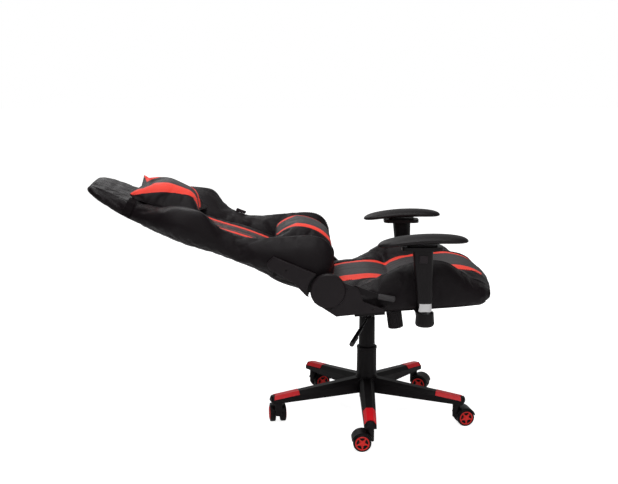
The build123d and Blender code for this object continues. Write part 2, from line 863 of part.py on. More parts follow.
def seat_outline(half_width, middle, crest, lower):
    crest_x = bolster_crest_x * half_width / 260
    valley_x = seat_panel_half_width * half_width / 260
    base = lower + cushion_bottom
    return mirrored([
        (0, middle),
        (valley_x, middle + 3),
        (crest_x - 22, middle + 0.86 * (crest - middle) + 1),
        (crest_x, crest),
        (crest_x + 22, crest - 8),
        (half_width - 6, base + 0.72 * (crest - base)),
        (half_width, base + 0.42 * (crest - base)),
        (half_width - 5, base + 2),
        (half_width - 14, base),
    ])


pocket_half_width = frame_half_width + pocket_gap
pocket_length = frame_length + 2 * pocket_gap
pocket_depth = frame_tube + web_thickness + seat_gap

with BuildPart() as seat_cushion:
    seat_sections = [
        section(seat_station(y), seat_outline(half_width, middle, crest, lower))
        for y, half_width, middle, crest, lower in seat_stations
    ]
    loft(seat_sections, ruled=True)
    with BuildSketch(seat_plane):
        with Locations((0, frame_mid_y)):
            RectangleRounded(2 * pocket_half_width, pocket_length, frame_corner + pocket_gap)
    extrude(amount=pocket_depth, mode=Mode.SUBTRACT)
save(seat_cushion, "seat_cushion")

# Arm brackets: a steel tongue under the frame, stepped down to carry the post
end_plate_top = -arm_bracket_drop


def arm_bracket_outline(side, grow):
    upper = [
        (arm_bracket_inner_x, grow),
        (arm_bracket_bend_x + grow, grow),
        (arm_bracket_low_x + grow, end_plate_top + grow),
        (arm_x + post_length / 2 - 4 + grow, end_plate_top + grow),
    ]
    lower = [(x, h - arm_bracket_sheet - 2 * grow) for x, h in upper]
    lower[1] = (arm_bracket_bend_x - 3 - grow, lower[1][1])
    lower[2] = (arm_bracket_low_x - 3 - grow, lower[2][1])
    return [(side * x, h) for x, h in upper + lower[::-1]]


def arm_bracket_solid(side, grow):
    with BuildPart() as solid:
        extrude(
            section(seat_station(post_y), arm_bracket_outline(side, grow)),
            amount=arm_bracket_width / 2 + grow,
            both=True,
        )
    return solid.part


with BuildPart() as arm_brackets:
    for side in (-1, 1):
        add(arm_bracket_solid(side, 0))
    with BuildSketch(seat_plane):
        with Locations(*arm_bolts):
            Circle(bolt_radius + press_clearance)
    extrude(amount=-arm_bracket_sheet, mode=Mode.SUBTRACT)
save(arm_brackets, "arm_brackets")

post_plane = seat_plane.offset(end_plate_top)


def oval(plane, x, y, length, width):
    """An upright oval section, long in Y."""
    with BuildSketch(plane) as outline:
        with Locations((x, y)):
            SlotOverall(length, width, rotation=90)
    return outline.sketch.face()


with BuildPart() as arm_posts:
    for side in (-1, 1):
        post_section = oval(Plane.XY.offset(post_top), side * arm_x, post_y, post_length, post_width)
        extrude(post_section, amount=-(post_top - cup_bottom))
    for side in (-1, 1):
        post_bore = oval(
            Plane.XY.offset(post_top),
            side * arm_x,
            post_y,
            post_length - 2 * post_wall,
            post_width - 2 * post_wall,
        )
        extrude(post_bore, amount=-(post_top - cup_bottom), mode=Mode.SUBTRACT)
    split(bisect_by=post_plane, keep=Keep.TOP)
save(arm_posts, "arm_posts")

with BuildPart() as arm_cups:
    for side in (-1, 1):
        with BuildSketch(Plane.XY.offset(cup_bottom)):
            with Locations((side * arm_x, post_y)):
                Circle(cup_radius)
        with BuildSketch(Plane.XY.offset(cup_top)):
            with Locations((side * arm_x, post_y)):
                Circle(cup_top_radius)
        loft()
    fillet(arm_cups.edges().group_by(Axis.Z)[0], 9)
    fillet(arm_cups.edges().group_by(Axis.Z)[-1], 2)
    for side in (-1, 1):
        add(arm_bracket_solid(side, seat_gap), mode=Mode.SUBTRACT)
        cup_bore = oval(
            Plane.XY.offset(cup_top),
            side * arm_x,
            post_y,
            post_length + 2 * seat_gap,
            post_width + 2 * seat_gap,
        )
        extrude(cup_bore, amount=-(cup_top - seat_base_height + arm_bracket_drop), mode=Mode.SUBTRACT)
save(arm_cups, "arm_cups")

# Armrests: each slides on its post, and the left one is set a little lower than the right
arm_block_height = pad_middle[1] - pad_thickness / 2 - sleeve_top - seat_gap

for side, name, drop in ((-1, "right", 0.0), (1, "left", arm_drop_left)):
    with BuildPart() as arm_sleeve:
        sleeve_ends = [
            oval(
                Plane.XY.offset(sleeve_bottom - drop),
                side * arm_x,
                sleeve_bottom_y,
                sleeve_bottom_length,
                sleeve_bottom_width,
            ),
            oval(
                Plane.XY.offset(sleeve_top - drop),
                side * arm_x,
                sleeve_top_y,
                sleeve_top_length,
                sleeve_top_width,
            ),
        ]
        loft(sleeve_ends)
        with BuildSketch(Plane.XY.offset(sleeve_top - drop)):
            with Locations((side * arm_x, arm_plate_y)):
                RectangleRounded(arm_plate_width, arm_plate_length, 20)
        extrude(amount=arm_plate_height)
        with BuildSketch(Plane.XY.offset(sleeve_top - drop)):
            with Locations((side * arm_x, arm_plate_y)):
                RectangleRounded(arm_block_width, arm_block_length, 12)
        extrude(amount=arm_block_height)
        sleeve_bore = oval(
            Plane.XY.offset(sleeve_bottom - drop),
            side * arm_x,
            post_y,
            post_length + 2 * seat_gap,
            post_width + 2 * seat_gap,
        )
        extrude(sleeve_bore, amount=sleeve_top - sleeve_bottom - sleeve_roof, mode=Mode.SUBTRACT)
        button_face = Plane.YZ.offset(side * (arm_x + sleeve_top_width / 2 + 1))
        with BuildSketch(button_face):
            with Locations((sleeve_top_y, button_z - drop)):
                RectangleRounded(
                    button_width + 2 * moving_gap, button_height + 2 * moving_gap, 4 + moving_gap
                )
        button_pocket = (sleeve_top_width - post_width) / 2 + 1
        extrude(amount=-side * button_pocket, mode=Mode.SUBTRACT)
    save(arm_sleeve, f"arm_sleeve_{name}")

    with BuildPart() as arm_button:
        with BuildSketch(Plane.YZ.offset(side * (arm_x + sleeve_top_width / 2 + button_proud - 1))):
            with Locations((sleeve_top_y, button_z - drop)):
                RectangleRounded(button_width, button_height, 4)
        extrude(amount=-side * (button_pocket - 2 * button_proud + 1))
        outer_edges = arm_button.edges().group_by(Axis.X)[0 if side < 0 else -1]
        fillet(outer_edges, 1.5)
    save(arm_button, f"arm_button_{name}")

    with BuildPart() as arm_pad:
        lift = -drop
        with BuildSketch(Plane.YZ.offset(side * arm_x)):
            with BuildLine() as pad_line:
                ThreePointArc(
                    (pad_rear[0], pad_rear[1] + lift),
                    (pad_middle[0], pad_middle[1] + lift),
                    (pad_front[0], pad_front[1] + lift),
                )
            trace(pad_line.line, line_width=pad_thickness)
        extrude(amount=pad_width / 2, both=True)
        with BuildSketch(Plane.XY.offset(sleeve_bottom)):
            with Locations((side * arm_x, (pad_rear[0] + pad_front[0]) / 2)):
                RectangleRounded(pad_width, pad_length, pad_corner)
        extrude(amount=pad_middle[1] + pad_thickness - sleeve_bottom, mode=Mode.INTERSECT)
        fillet(arm_pad.edges().filter_by(Axis.Z, reverse=True), pad_edge)
        for length, width, corner, height in (
            (arm_plate_length, arm_plate_width, 20, arm_plate_height),
            (arm_block_length, arm_block_width, 12, arm_block_height),
        ):
            with BuildSketch(Plane.XY.offset(sleeve_top - drop)):
                with Locations((side * arm_x, arm_plate_y)):
                    RectangleRounded(width + 2 * moving_gap, length + 2 * moving_gap, corner + moving_gap)
            extrude(amount=height + seat_gap, mode=Mode.SUBTRACT)
    save(arm_pad, f"arm_pad_{name}")

# Seat bolts: from below through the plates into the frame
with BuildPart() as seat_bolts:
    for bolts, sheet in (
        (plate_bolts, seat_plate_sheet),
        (arm_bolts, arm_bracket_sheet),
        (recliner_bolts, plate_sheet),
    ):
        with BuildSketch(seat_plane.offset(-sheet - bolt_head_height)):
            with Locations(*bolts):
                RegularPolygon(bolt_head_radius, 6)
        extrude(amount=bolt_head_height)
        with BuildSketch(seat_plane.offset(-sheet)):
            with Locations(*bolts):
                Circle(bolt_radius)
        extrude(amount=sheet + frame_tube / 2)
save(seat_bolts, "seat_bolts")

# Recliner. Side outlines are drawn on the YZ plane, y to the rear and z up, and the parts
# of each side are stacked outwards from the cushion.
pivot = (pivot_y, pivot_z)


def side_plane_at(side, x):
    return Plane.YZ.offset(side * x)


lever_cover_points = (
    (pivot_y - 50.0, pivot_z + 26.0),
    (pivot_y - 93.0, pivot_z + 8.0),
    (pivot_y - 110.0, pivot_z - 36.0),
    (pivot_y - 173.0, pivot_z - 58.0),
    (pivot_y - 174.0, pivot_z - 67.0),
    (pivot_y - 26.0, pivot_z - 82.0),
    (pivot_y + 44.0, pivot_z - 36.0),
)
plain_cover_points = (
    (pivot_y - 38.0, pivot_z - 4.0),
    (pivot_y - 62.0, pivot_z - 28.0),
    (pivot_y - 110.0, pivot_z - 40.0),
    (pivot_y - 173.0, pivot_z - 58.0),
    (pivot_y - 174.0, pivot_z - 67.0),
    (pivot_y - 26.0, pivot_z - 82.0),
    (pivot_y + 40.0, pivot_z - 34.0),
)
front_screw = (pivot_y - 139.0, pivot_z - 59.0)
rear_screw = (pivot_y - 8.0, pivot_z - 56.0)

# Each side has its own cover: the right one makes room for the lever
lower_cover_points = {-1: lever_cover_points, 1: plain_cover_points}
lower_screws = {
    -1: (front_screw, rear_screw, (pivot_y - 58.0, pivot_z + 6.0)),
    1: (front_screw, rear_screw, (pivot_y - 66.0, pivot_z - 42.0)),
}
disc_radii = {-1: disc_radius, 1: plain_disc_radius}
upper_cover_points = (
    (pivot_y + 37.0, pivot_z + 53.0),
    (pivot_y + 169.0, pivot_z + 108.0),
    (pivot_y + 190.0, pivot_z + 87.0),
    (pivot_y + 182.0, pivot_z + 69.0),
    (pivot_y + 106.0, pivot_z + 25.0),
    (pivot_y + 86.0, pivot_z + 3.0),
    (pivot_y + 67.0, pivot_z - 17.0),
    (pivot_y + 56.0, pivot_z - 20.0),
)
upper_screw = (pivot_y + 130.0, pivot_z + 66.0)
upper_plate_x = plate_inner_x + plate_sheet + plate_gap
lever_x = upper_plate_x + plate_sheet + plate_gap
upper_cover_x = upper_plate_x + plate_sheet
tongue_front = recliner_bolts[0][1] - 15
tongue_rear = recliner_bolts[1][1] + 15


with BuildPart() as lower_brackets:
    for side in (-1, 1):
        with BuildSketch(side_plane_at(side, plate_inner_x)):
            with BuildLine():
                Polyline(lower_cover_points[side], close=True)
            make_face()
            offset(amount=-6, kind=Kind.INTERSECTION)
            with Locations(pivot):
                Circle(disc_radii[side] - 12)
        extrude(amount=side * plate_sheet)
        with BuildSketch(seat_plane.offset(-plate_sheet)):
            with Locations(
                (side * (plate_inner_x + plate_sheet + side_tube_x - 12) / 2,
                 (tongue_front + tongue_rear) / 2)
            ):
                Rectangle(plate_inner_x + plate_sheet - side_tube_x + 12, tongue_rear - tongue_front)
        extrude(amount=plate_sheet)
        with BuildSketch(side_plane_at(side, plate_inner_x)):
            with BuildLine():
                Polyline(
                    (tongue_front, seat_base_height - plate_sheet - 1),
                    (tongue_rear, seat_base_height - plate_sheet - 2),
                    (tongue_rear, seat_base_height + frame_tube),
                    (tongue_front, seat_base_height + frame_tube),
                    close=True,
                )
            make_face()
        extrude(amount=side * plate_sheet)
    split(bisect_by=seat_plane.offset(-plate_sheet), keep=Keep.TOP)
    with BuildSketch(Plane.YZ):
        with Locations(pivot):
            Circle(recline_shaft_radius + running_clearance)
    extrude(amount=plate_inner_x + 2 * plate_sheet, both=True, mode=Mode.SUBTRACT)
    with BuildSketch(seat_plane):
        with Locations(*recliner_bolts):
            Circle(bolt_radius + press_clearance)
    extrude(amount=-plate_sheet, mode=Mode.SUBTRACT)
save(lower_brackets, "lower_brackets")

with BuildPart() as upper_brackets:
    for side in (-1, 1):
        with BuildSketch(side_plane_at(side, upper_plate_x)):
            with BuildLine():
                Polyline(upper_cover_points, close=True)
            make_face()
            offset(amount=-5, kind=Kind.INTERSECTION)
            with Locations(pivot):
                Circle(disc_radii[side] - 18)
            with BuildLine():
                Polyline(
                    (pivot_y + 6, pivot_z + 34),
                    (pivot_y + 80, pivot_z + 60),
                    (pivot_y + 90, pivot_z + 26),
                    (pivot_y + 34, pivot_z - 12),
                    close=True,
                )
            make_face()
        extrude(amount=side * plate_sheet)
    with BuildSketch(Plane.YZ):
        with Locations(pivot):
            Circle(recline_shaft_radius + press_clearance)
    extrude(amount=upper_plate_x + 2 * plate_sheet, both=True, mode=Mode.SUBTRACT)
save(upper_brackets, "upper_brackets")

with BuildPart() as recline_shaft:
    with BuildSketch(Plane.YZ):
        with Locations(pivot):
            Circle(recline_shaft_radius)
    extrude(amount=lever_x + lever_sheet, both=True)
save(recline_shaft, "recline_shaft")

lever_points = (
    (pivot_y - 8.0, pivot_z + 14.0),
    (pivot_y - 84.0, pivot_z + 16.0),
    (pivot_y - 160.0, pivot_z - 14.0),
    (pivot_y - 164.0, pivot_z - 26.0),
    (pivot_y - 120.0, pivot_z - 20.0),
    (pivot_y - 80.0, pivot_z + 2.0),
    (pivot_y - 6.0, pivot_z - 14.0),
)
grip_start = (pivot_y - 156.0, pivot_z - 20.0)
grip_end = (pivot_y - 208.0, pivot_z - 29.0)

with BuildPart() as recline_lever:
    with BuildSketch(side_plane_at(-1, lever_x)):
        with BuildLine():
            Polyline(lever_points, close=True)
        make_face()
        with Locations(pivot):
            Circle(16)
    extrude(amount=-lever_sheet)
    with BuildSketch(side_plane_at(-1, lever_x)):
        with Locations(pivot):
            Circle(recline_shaft_radius + running_clearance)
    extrude(amount=-lever_sheet, mode=Mode.SUBTRACT)
    grip_run = Vector(0, grip_end[0] - grip_start[0], grip_end[1] - grip_start[1])
    grip_origin = (-(lever_x + lever_sheet / 2), grip_start[0], grip_start[1])
    with BuildSketch(Plane(origin=grip_origin, z_dir=grip_run)):
        Circle(recline_grip_radius)
    extrude(amount=grip_run.length)
    fillet(recline_lever.faces().sort_by(Axis.Y)[0].edges(), 2)
save(recline_lever, "recline_lever")

cover_outer_x = side_cover_inner_x + side_cover_plate
rim_inner_x = plate_inner_x + plate_sheet + plate_gap
window_reach = 4 * disc_radius
window_angles = (180 - recline_lever_swing - 5, 180, 205)
lever_window = [
    (pivot_y + window_reach * cos(radians(angle)), pivot_z + window_reach * sin(radians(angle)))
    for angle in window_angles
]

for side, name in ((-1, "right"), (1, "left")):
    with BuildPart() as lower_cover:
        with BuildSketch(side_plane_at(side, side_cover_inner_x)):
            with BuildLine():
                Polyline(lower_cover_points[side], close=True)
            make_face()
            with Locations(pivot):
                Circle(disc_radii[side])
        extrude(amount=side * side_cover_plate)
        with BuildSketch(side_plane_at(side, cover_outer_x)):
            with Locations(pivot):
                Circle(disc_radii[side])
        extrude(amount=side * disc_dome, taper=35)
        with BuildSketch(side_plane_at(side, rim_inner_x)):
            with BuildLine():
                Polyline(lower_cover_points[side], close=True)
            make_face()
            with BuildLine():
                Polyline(lower_cover_points[side], close=True)
            make_face()
            offset(amount=-cover_rim, kind=Kind.INTERSECTION, mode=Mode.SUBTRACT)
            with Locations(pivot):
                Circle(disc_radii[side] + disc_gap + moving_gap, mode=Mode.SUBTRACT)
            if side < 0:
                with BuildLine():
                    Polyline([pivot] + lever_window, close=True)
                make_face(mode=Mode.SUBTRACT)
        extrude(amount=side * (side_cover_inner_x - rim_inner_x))
        with BuildSketch(side_plane_at(side, cover_outer_x)):
            with Locations(*lower_screws[side]):
                Circle(side_screw_radius)
        extrude(amount=-side * 2, mode=Mode.SUBTRACT)
    save(lower_cover, f"lower_cover_{name}")

    with BuildPart() as upper_cover:
        with BuildSketch(side_plane_at(side, upper_cover_x)):
            with BuildLine():
                Polyline(upper_cover_points, close=True)
            make_face()
            with Locations(pivot):
                Circle(disc_radii[side] + disc_gap, mode=Mode.SUBTRACT)
        extrude(amount=side * upper_cover_thickness)
        upright_edges = upper_cover.edges().filter_by(Axis.X)
        fillet(upright_edges.group_by(Axis.Y)[-1], 12)
        outer_x = upper_cover.faces().sort_by(Axis.X)[0 if side < 0 else -1]
        fillet(outer_x.edges(), 2.5)
        with BuildSketch(side_plane_at(side, upper_cover_x + upper_cover_thickness)):
            with Locations(upper_screw):
                Circle(side_screw_radius)
        extrude(amount=-side * 3, mode=Mode.SUBTRACT)
    save(upper_cover, f"upper_cover_{name}")

# Backrest, in its own plane: x to the left, y from the pivot towards the head, and height
# towards the sitter. Heights below zero lie behind the pivot line.
rise = radians(recline_rise)
back_plane = Plane(
    origin=(0, pivot_y, pivot_z), x_dir=(1, 0, 0), z_dir=(0, -sin(rise), cos(rise))
)


def back_point(x, along, height):
    return back_plane.from_local_coords((x, along, height))


def back_station(along):
    """The section plane across the back, with x to the left and y towards the sitter."""
    return Plane(origin=back_point(0, along, 0), x_dir=(1, 0, 0), z_dir=-back_plane.y_dir)


# Stations: distance from the pivot, half width, height of the middle panel, of the bolster
# crest and of the rear, half width of the panel, and where the crest stands
back_stations = (
    (back_start, 236.0, 20.0, 78.0, -34.0, 150.0, 206.0),
    (32.0, 252.0, 20.0, 104.0, -36.0, 150.0, 214.0),
    (60.0, 259.0, 18.0, 126.0, -38.0, 150.0, 216.0),
    (95.0, 261.0, 15.0, 131.0, -39.0, 150.0, 215.0),
    (145.0, 261.0, 11.0, 116.0, -44.0, 148.0, 213.0),
    (200.0, 254.0, 7.0, 86.0, -45.0, 142.0, 210.0),
    (245.0, 245.0, 3.0, 60.0, -48.0, 136.0, 205.0),
    (290.0, 239.0, -2.0, 36.0, -53.0, 130.0, 202.0),
    (350.0, 241.0, -11.0, 25.0, -57.0, 120.0, 206.0),
    (410.0, 255.0, -19.0, 32.0, -62.0, 110.0, 212.0),
    (468.0, 265.0, -23.0, 42.0, -67.0, 104.0, 215.0),
    (525.0, 265.0, -24.0, 31.0, -70.0, 104.0, 215.0),
    (565.0, 250.0, -24.0, 6.0, -75.0, 108.0, 206.0),
    (600.0, 218.0, -24.0, -18.0, -82.0, 112.0, 180.0),
    (640.0, 182.0, -26.0, -29.0, -87.0, 110.0, 150.0),
    (690.0, 160.0, -30.0, -35.0, -89.0, 100.0, 134.0),
    (740.0, 154.0, -34.0, -41.0, -87.0, 95.0, 128.0),
    (782.0, 142.0, -39.0, -47.0, -84.0, 84.0, 116.0),
    (804.0, 122.0, -46.0, -53.0, -80.0, 62.0, 98.0),
    (back_end, 92.0, -57.0, -60.0, -73.0, 40.0, 72.0),
)


def back_values(along):
    """The station's values at any distance along the back, straight between stations."""
    for before, after in zip(back_stations, back_stations[1:]):
        if along <= after[0]:
            break
    return [
        line_between(before[0], low, after[0], high, along) for low, high in zip(before[1:], after[1:])
    ]


def back_outline(along, grow=0.0):
    half_width, panel, crest, rear, panel_half, crest_x = back_values(along)
    panel, crest, rear = panel + grow, crest + grow, rear - grow
    half_width = half_width + grow
    depth = crest - rear
    return mirrored([
        (0, panel),
        (panel_half, panel),
        (crest_x - 24, panel + 0.85 * (crest - panel)),
        (crest_x, crest),
        (crest_x + 0.55 * (half_width - crest_x), crest - 0.12 * depth),
        (half_width - 3, rear + 0.55 * depth),
        (half_width, rear + 0.35 * depth),
        (half_width - 8, rear + 0.1 * depth),
        (half_width - 24, rear),
    ])


frame_origin = back_point(0, 0, back_frame_depth)
frame_rise = rise - radians(back_frame_lean)
back_frame_plane = Plane(
    origin=frame_origin, x_dir=(1, 0, 0), z_dir=(0, -sin(frame_rise), cos(frame_rise))
)


def back_frame_envelope(radius, boss_radius):
    """The bent tube with its cross bars and side bosses, as one solid."""
    half = [
        (back_frame_half_width, back_frame_start),
        (back_frame_half_width, back_frame_waist),
        (back_frame_shoulder, back_frame_bend),
        (back_frame_neck, back_frame_neck_along),
        (back_frame_head, back_frame_end),
    ]
    with BuildPart() as solid:
        with BuildLine(back_frame_plane) as path:
            other_half = [(-x, along) for x, along in reversed(half)]
            FilletPolyline(*half, *other_half, radius=back_frame_bend_radius)
        with BuildSketch(Plane(origin=path.line @ 0, z_dir=path.line % 0)):
            Circle(radius)
        sweep()
        for along in back_frame_bars:
            bar_origin = back_frame_plane.from_local_coords((0, along, 0))
            with BuildSketch(Plane(origin=bar_origin, z_dir=(1, 0, 0))):
                Circle(radius - 1)
            extrude(amount=back_frame_bar_half, both=True)
        if boss_radius > 0:
            for side in (-1, 1):
                for along in back_bolt_places:
                    boss = back_frame_plane.from_local_coords((side * back_frame_half_width, along, 0))
                    with BuildSketch(Plane(origin=boss, z_dir=(side, 0, 0))):
                        Circle(boss_radius)
                    extrude(amount=upper_plate_x - back_frame_half_width)
    return solid.part


with BuildPart() as back_frame:
    add(back_frame_envelope(back_frame_tube_radius, back_bolt_radius))
    add(back_frame_envelope(back_frame_tube_radius - back_frame_wall, 0), mode=Mode.SUBTRACT)
save(back_frame, "back_frame")

with BuildPart() as back_cushion:
    back_sections = [
        section(back_station(station[0]), back_outline(station[0])) for station in back_stations
    ]
    loft(back_sections, ruled=True)
    add(
        back_frame_envelope(
            back_frame_tube_radius + back_frame_clearance, back_bolt_radius + back_frame_clearance
        ),
        mode=Mode.SUBTRACT,
    )
save(back_cushion, "back_cushion")


def pillow_outline(half_width, low, high, height):
    """A pillow's outline at one height over the back, from low to high along it."""
    with BuildSketch(back_plane.offset(height)) as outline:
        with Locations((0, (low + high) / 2)):
            Rectangle(2 * half_width, high - low)
        chamfer(outline.vertices(), pillow_corner)
    return outline.sketch.face()


# Outlines of the pillows: half width, lower and upper end along the back, and height
head_pillow_outlines = (
    (72.0, 508.0, 648.0, -23.4),
    (128.0, 474.0, 690.0, 2.0),
    (112.0, 486.0, 678.0, 30.0),
    (70.0, 525.0, 635.0, 54.0),
)
lumbar_pillow_outlines = (
    (128.0, 22.0, 185.0, 20.4),
    (149.0, 8.0, 210.0, 46.0),
    (151.0, 6.0, 204.0, 72.0),
    (145.0, 29.0, 180.0, 98.0),
    (132.0, 45.0, 148.0, 117.0),
    (104.0, 70.0, 122.0, 127.5),
)

with BuildPart() as head_pillow:
    loft([pillow_outline(*values) for values in head_pillow_outlines], ruled=True)
save(head_pillow, "head_pillow")

with BuildPart() as lumbar_pillow:
    loft([pillow_outline(*values) for values in lumbar_pillow_outlines], ruled=True)
save(lumbar_pillow, "lumbar_pillow")

strap_ends = (head_strap_along - strap_width / 2, head_strap_along + strap_width / 2)
lumbar_strap_side = [
    (back_start - strap_offset, 24.0),
    (back_start - strap_offset, -36.5),
    (34.0, -37.7),
    (60.0, -39.4),
    (95.0, -40.5),
    (145.0, -45.4),
    (200.0, -46.6),
]

with BuildPart() as pillow_straps:
    outer_band = [
        section(back_station(along), back_outline(along, seat_gap + strap_thickness))
        for along in strap_ends
    ]
    loft(outer_band, ruled=True)
    inner_band = [section(back_station(along), back_outline(along, seat_gap)) for along in strap_ends]
    loft(inner_band, ruled=True, mode=Mode.SUBTRACT)
    with BuildSketch(back_plane.offset(-40)):
        with Locations((0, head_strap_along)):
            Rectangle(2 * head_strap_end_x, 2 * strap_width)
    extrude(amount=60, mode=Mode.SUBTRACT)
    for side in (-1, 1):
        strap_origin = back_point(side * lumbar_strap_x, 0, 0)
        with BuildSketch(Plane(origin=strap_origin, x_dir=back_plane.y_dir, z_dir=(1, 0, 0))):
            with BuildLine() as strap_line:
                Polyline(lumbar_strap_side)
            trace(strap_line.line, line_width=strap_thickness)
        extrude(amount=strap_width / 2, both=True)
save(pillow_straps, "pillow_straps")
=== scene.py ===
# A gaming chair laid back to its stop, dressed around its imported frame.
# Metres throughout: +X is the sitter's left, +Y the rear and +Z up.
import json
from math import cos, pi, radians, sin

import bmesh
import bpy
import numpy as np
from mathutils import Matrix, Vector

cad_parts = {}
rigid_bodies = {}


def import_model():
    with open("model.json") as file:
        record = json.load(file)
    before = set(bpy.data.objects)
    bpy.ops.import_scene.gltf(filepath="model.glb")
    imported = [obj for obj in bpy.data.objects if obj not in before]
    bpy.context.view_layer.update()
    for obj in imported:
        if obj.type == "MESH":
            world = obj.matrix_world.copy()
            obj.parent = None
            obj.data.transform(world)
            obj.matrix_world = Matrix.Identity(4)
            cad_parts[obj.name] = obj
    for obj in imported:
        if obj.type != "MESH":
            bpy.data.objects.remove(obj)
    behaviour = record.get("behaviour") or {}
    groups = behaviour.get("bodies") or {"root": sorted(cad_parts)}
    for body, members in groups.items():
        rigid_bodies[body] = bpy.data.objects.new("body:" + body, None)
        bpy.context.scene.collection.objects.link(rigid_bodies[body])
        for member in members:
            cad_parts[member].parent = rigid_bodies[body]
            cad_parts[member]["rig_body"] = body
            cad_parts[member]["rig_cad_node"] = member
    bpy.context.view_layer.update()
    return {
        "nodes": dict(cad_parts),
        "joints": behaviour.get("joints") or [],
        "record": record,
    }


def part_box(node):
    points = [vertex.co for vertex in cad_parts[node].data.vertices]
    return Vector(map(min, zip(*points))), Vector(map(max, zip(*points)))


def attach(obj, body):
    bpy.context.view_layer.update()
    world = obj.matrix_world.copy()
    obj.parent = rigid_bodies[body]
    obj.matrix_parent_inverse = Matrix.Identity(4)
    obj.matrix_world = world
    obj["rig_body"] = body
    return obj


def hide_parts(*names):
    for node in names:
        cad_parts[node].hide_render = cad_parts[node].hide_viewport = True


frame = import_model()
nodes = frame["nodes"]
joints = {joint["name"]: joint for joint in frame["joints"]}
print("frame loaded:", len(nodes), "nodes")

view = {
    "place": (-3.367, 0.265, 1.283),
    "yaw": 1.15,  # degrees off the X axis
    "pitch": 11.37,  # degrees below level
    "lens": 59.84,
    "sensor": 36.0,
    "farthest": 60,
}
studio = {
    "floorSize": 30.0,
    "floorGlow": 0.86,
    "floorSockets": {
        "Base Color": (0.78, 0.78, 0.78, 1), "Roughness": 0.9, "Specular IOR Level": 0.1,
        "Emission Color": (1, 1, 1, 1),
    },
    "worldLight": 0.34,  # on the chair, from all round
    "room": (0.03, 0.46),  # what gloss sees in front of the pale backdrop and in the backdrop itself
    "backdrop": (0.30, 0.98),  # where the one turns into the other, as the cosine from the X axis
    "lamps": {
        "top": {"place": (-0.9, 0.2, 2.9), "aim": (0.0, 0.1, 0.5), "size": (1.4, 2.8), "watts": 46},
        "near": {"place": (-3.0, -1.9, 1.9), "aim": (0.0, 0.0, 0.5), "size": (1.0, 1.0), "watts": 14},
        "far": {"place": (1.9, 0.9, 2.6), "aim": (0.0, 0.2, 0.5), "size": (1.2, 2.4), "watts": 20},
    },
}


# Sets a socket to a number, or links another socket to it.
def feed(tree, socket, value):
    if isinstance(value, bpy.types.NodeSocket):
        tree.links.new(value, socket)
    else:
        socket.default_value = value


# A shader node with its settings made and then its inputs fed, by name or by number.
def addNode(tree, kind, inputs={}, **settings):
    node = tree.nodes.new("ShaderNode" + kind)
    for label, value in settings.items():
        setattr(node, label, value)
    for label, value in inputs.items():
        feed(tree, node.inputs[label], value)
    return node


def mathNode(tree, operation, *values):
    return addNode(tree, "Math", dict(enumerate(values)), operation=operation).outputs[0]


# The source within its limits, mapped onto the two goals.
def mapped(tree, source, limits, goals, **settings):
    inputs = dict(zip(("From Min", "From Max", "To Min", "To Max"), (*limits, *goals)))
    return addNode(tree, "MapRange", {"Value": source, **inputs}, **settings).outputs["Result"]


def aimed(item, place, direction):
    item.location = place
    item.rotation_euler = Vector(direction).to_track_quat("-Z", "Y").to_euler()
    bpy.context.scene.collection.objects.link(item)
    return item


# What the camera sees itself, and what it sees in gloss or through glass, each as a factor of 1 or 0.
def cameraRays(tree):
    path = addNode(tree, "LightPath").outputs
    mirrored = mathNode(tree, "MAXIMUM", path["Is Glossy Ray"], path["Is Transmission Ray"])
    return path["Is Camera Ray"], mirrored


def setUpView():
    yaw, pitch = radians(view["yaw"]), radians(view["pitch"])
    lens = bpy.data.cameras.new("camera")
    lens.lens = view["lens"]
    lens.sensor_width = view["sensor"]
    lens.sensor_fit = "HORIZONTAL"
    lens.clip_end = view["farthest"]
    direction = (cos(yaw) * cos(pitch), -sin(yaw) * cos(pitch), -sin(pitch))
    bpy.context.scene.camera = aimed(bpy.data.objects.new("camera", lens), view["place"], direction)
    bpy.context.scene.view_settings.view_transform = "Standard"


def setUpStudio():
    half = studio["floorSize"] / 2
    mesh = bpy.data.meshes.new("floor")
    corners = [(-half, -half, 0), (half, -half, 0), (half, half, 0), (-half, half, 0)]
    mesh.from_pydata(corners, [], [(0, 1, 2, 3)])
    floor = bpy.data.objects.new("floor", mesh)
    bpy.context.scene.collection.objects.link(floor)
    paint = bpy.data.materials.new("floor paper")
    paint.use_nodes = True
    tree = paint.node_tree
    shader = tree.nodes["Principled BSDF"]
    seen, mirrored = cameraRays(tree)
    reflected = mapped(tree, mirrored, (0, 1), (0, studio["room"][0]))
    glow = mapped(tree, seen, (0, 1), (reflected, studio["floorGlow"]))
    for label, value in {**studio["floorSockets"], "Emission Strength": glow}.items():
        feed(tree, shader.inputs[label], value)
    mesh.materials.append(paint)

    world = bpy.data.worlds.new("studio")
    world.use_nodes = True
    bpy.context.scene.world = world
    tree = world.node_tree
    background = tree.nodes["Background"]
    background.inputs["Color"].default_value = (1, 1, 1, 1)
    seen, mirrored = cameraRays(tree)
    direction = addNode(tree, "TexCoord").outputs["Generated"]
    across = addNode(tree, "SeparateXYZ", {0: direction}).outputs["X"]
    backdrop = mapped(tree, across, studio["backdrop"], studio["room"], interpolation_type="SMOOTHSTEP")
    room = mapped(tree, mirrored, (0, 1), (studio["worldLight"], backdrop))
    feed(tree, background.inputs["Strength"], mapped(tree, seen, (0, 1), (room, 1)))

    for name, lamp in studio["lamps"].items():
        light = bpy.data.lights.new(name, "AREA")
        light.shape = "RECTANGLE"
        light.size, light.size_y = lamp["size"]
        light.energy = lamp["watts"]
        direction = Vector(lamp["aim"]) - Vector(lamp["place"])
        aimed(bpy.data.objects.new(name, light), lamp["place"], direction)


setUpView()
setUpStudio()
print("view and studio set")


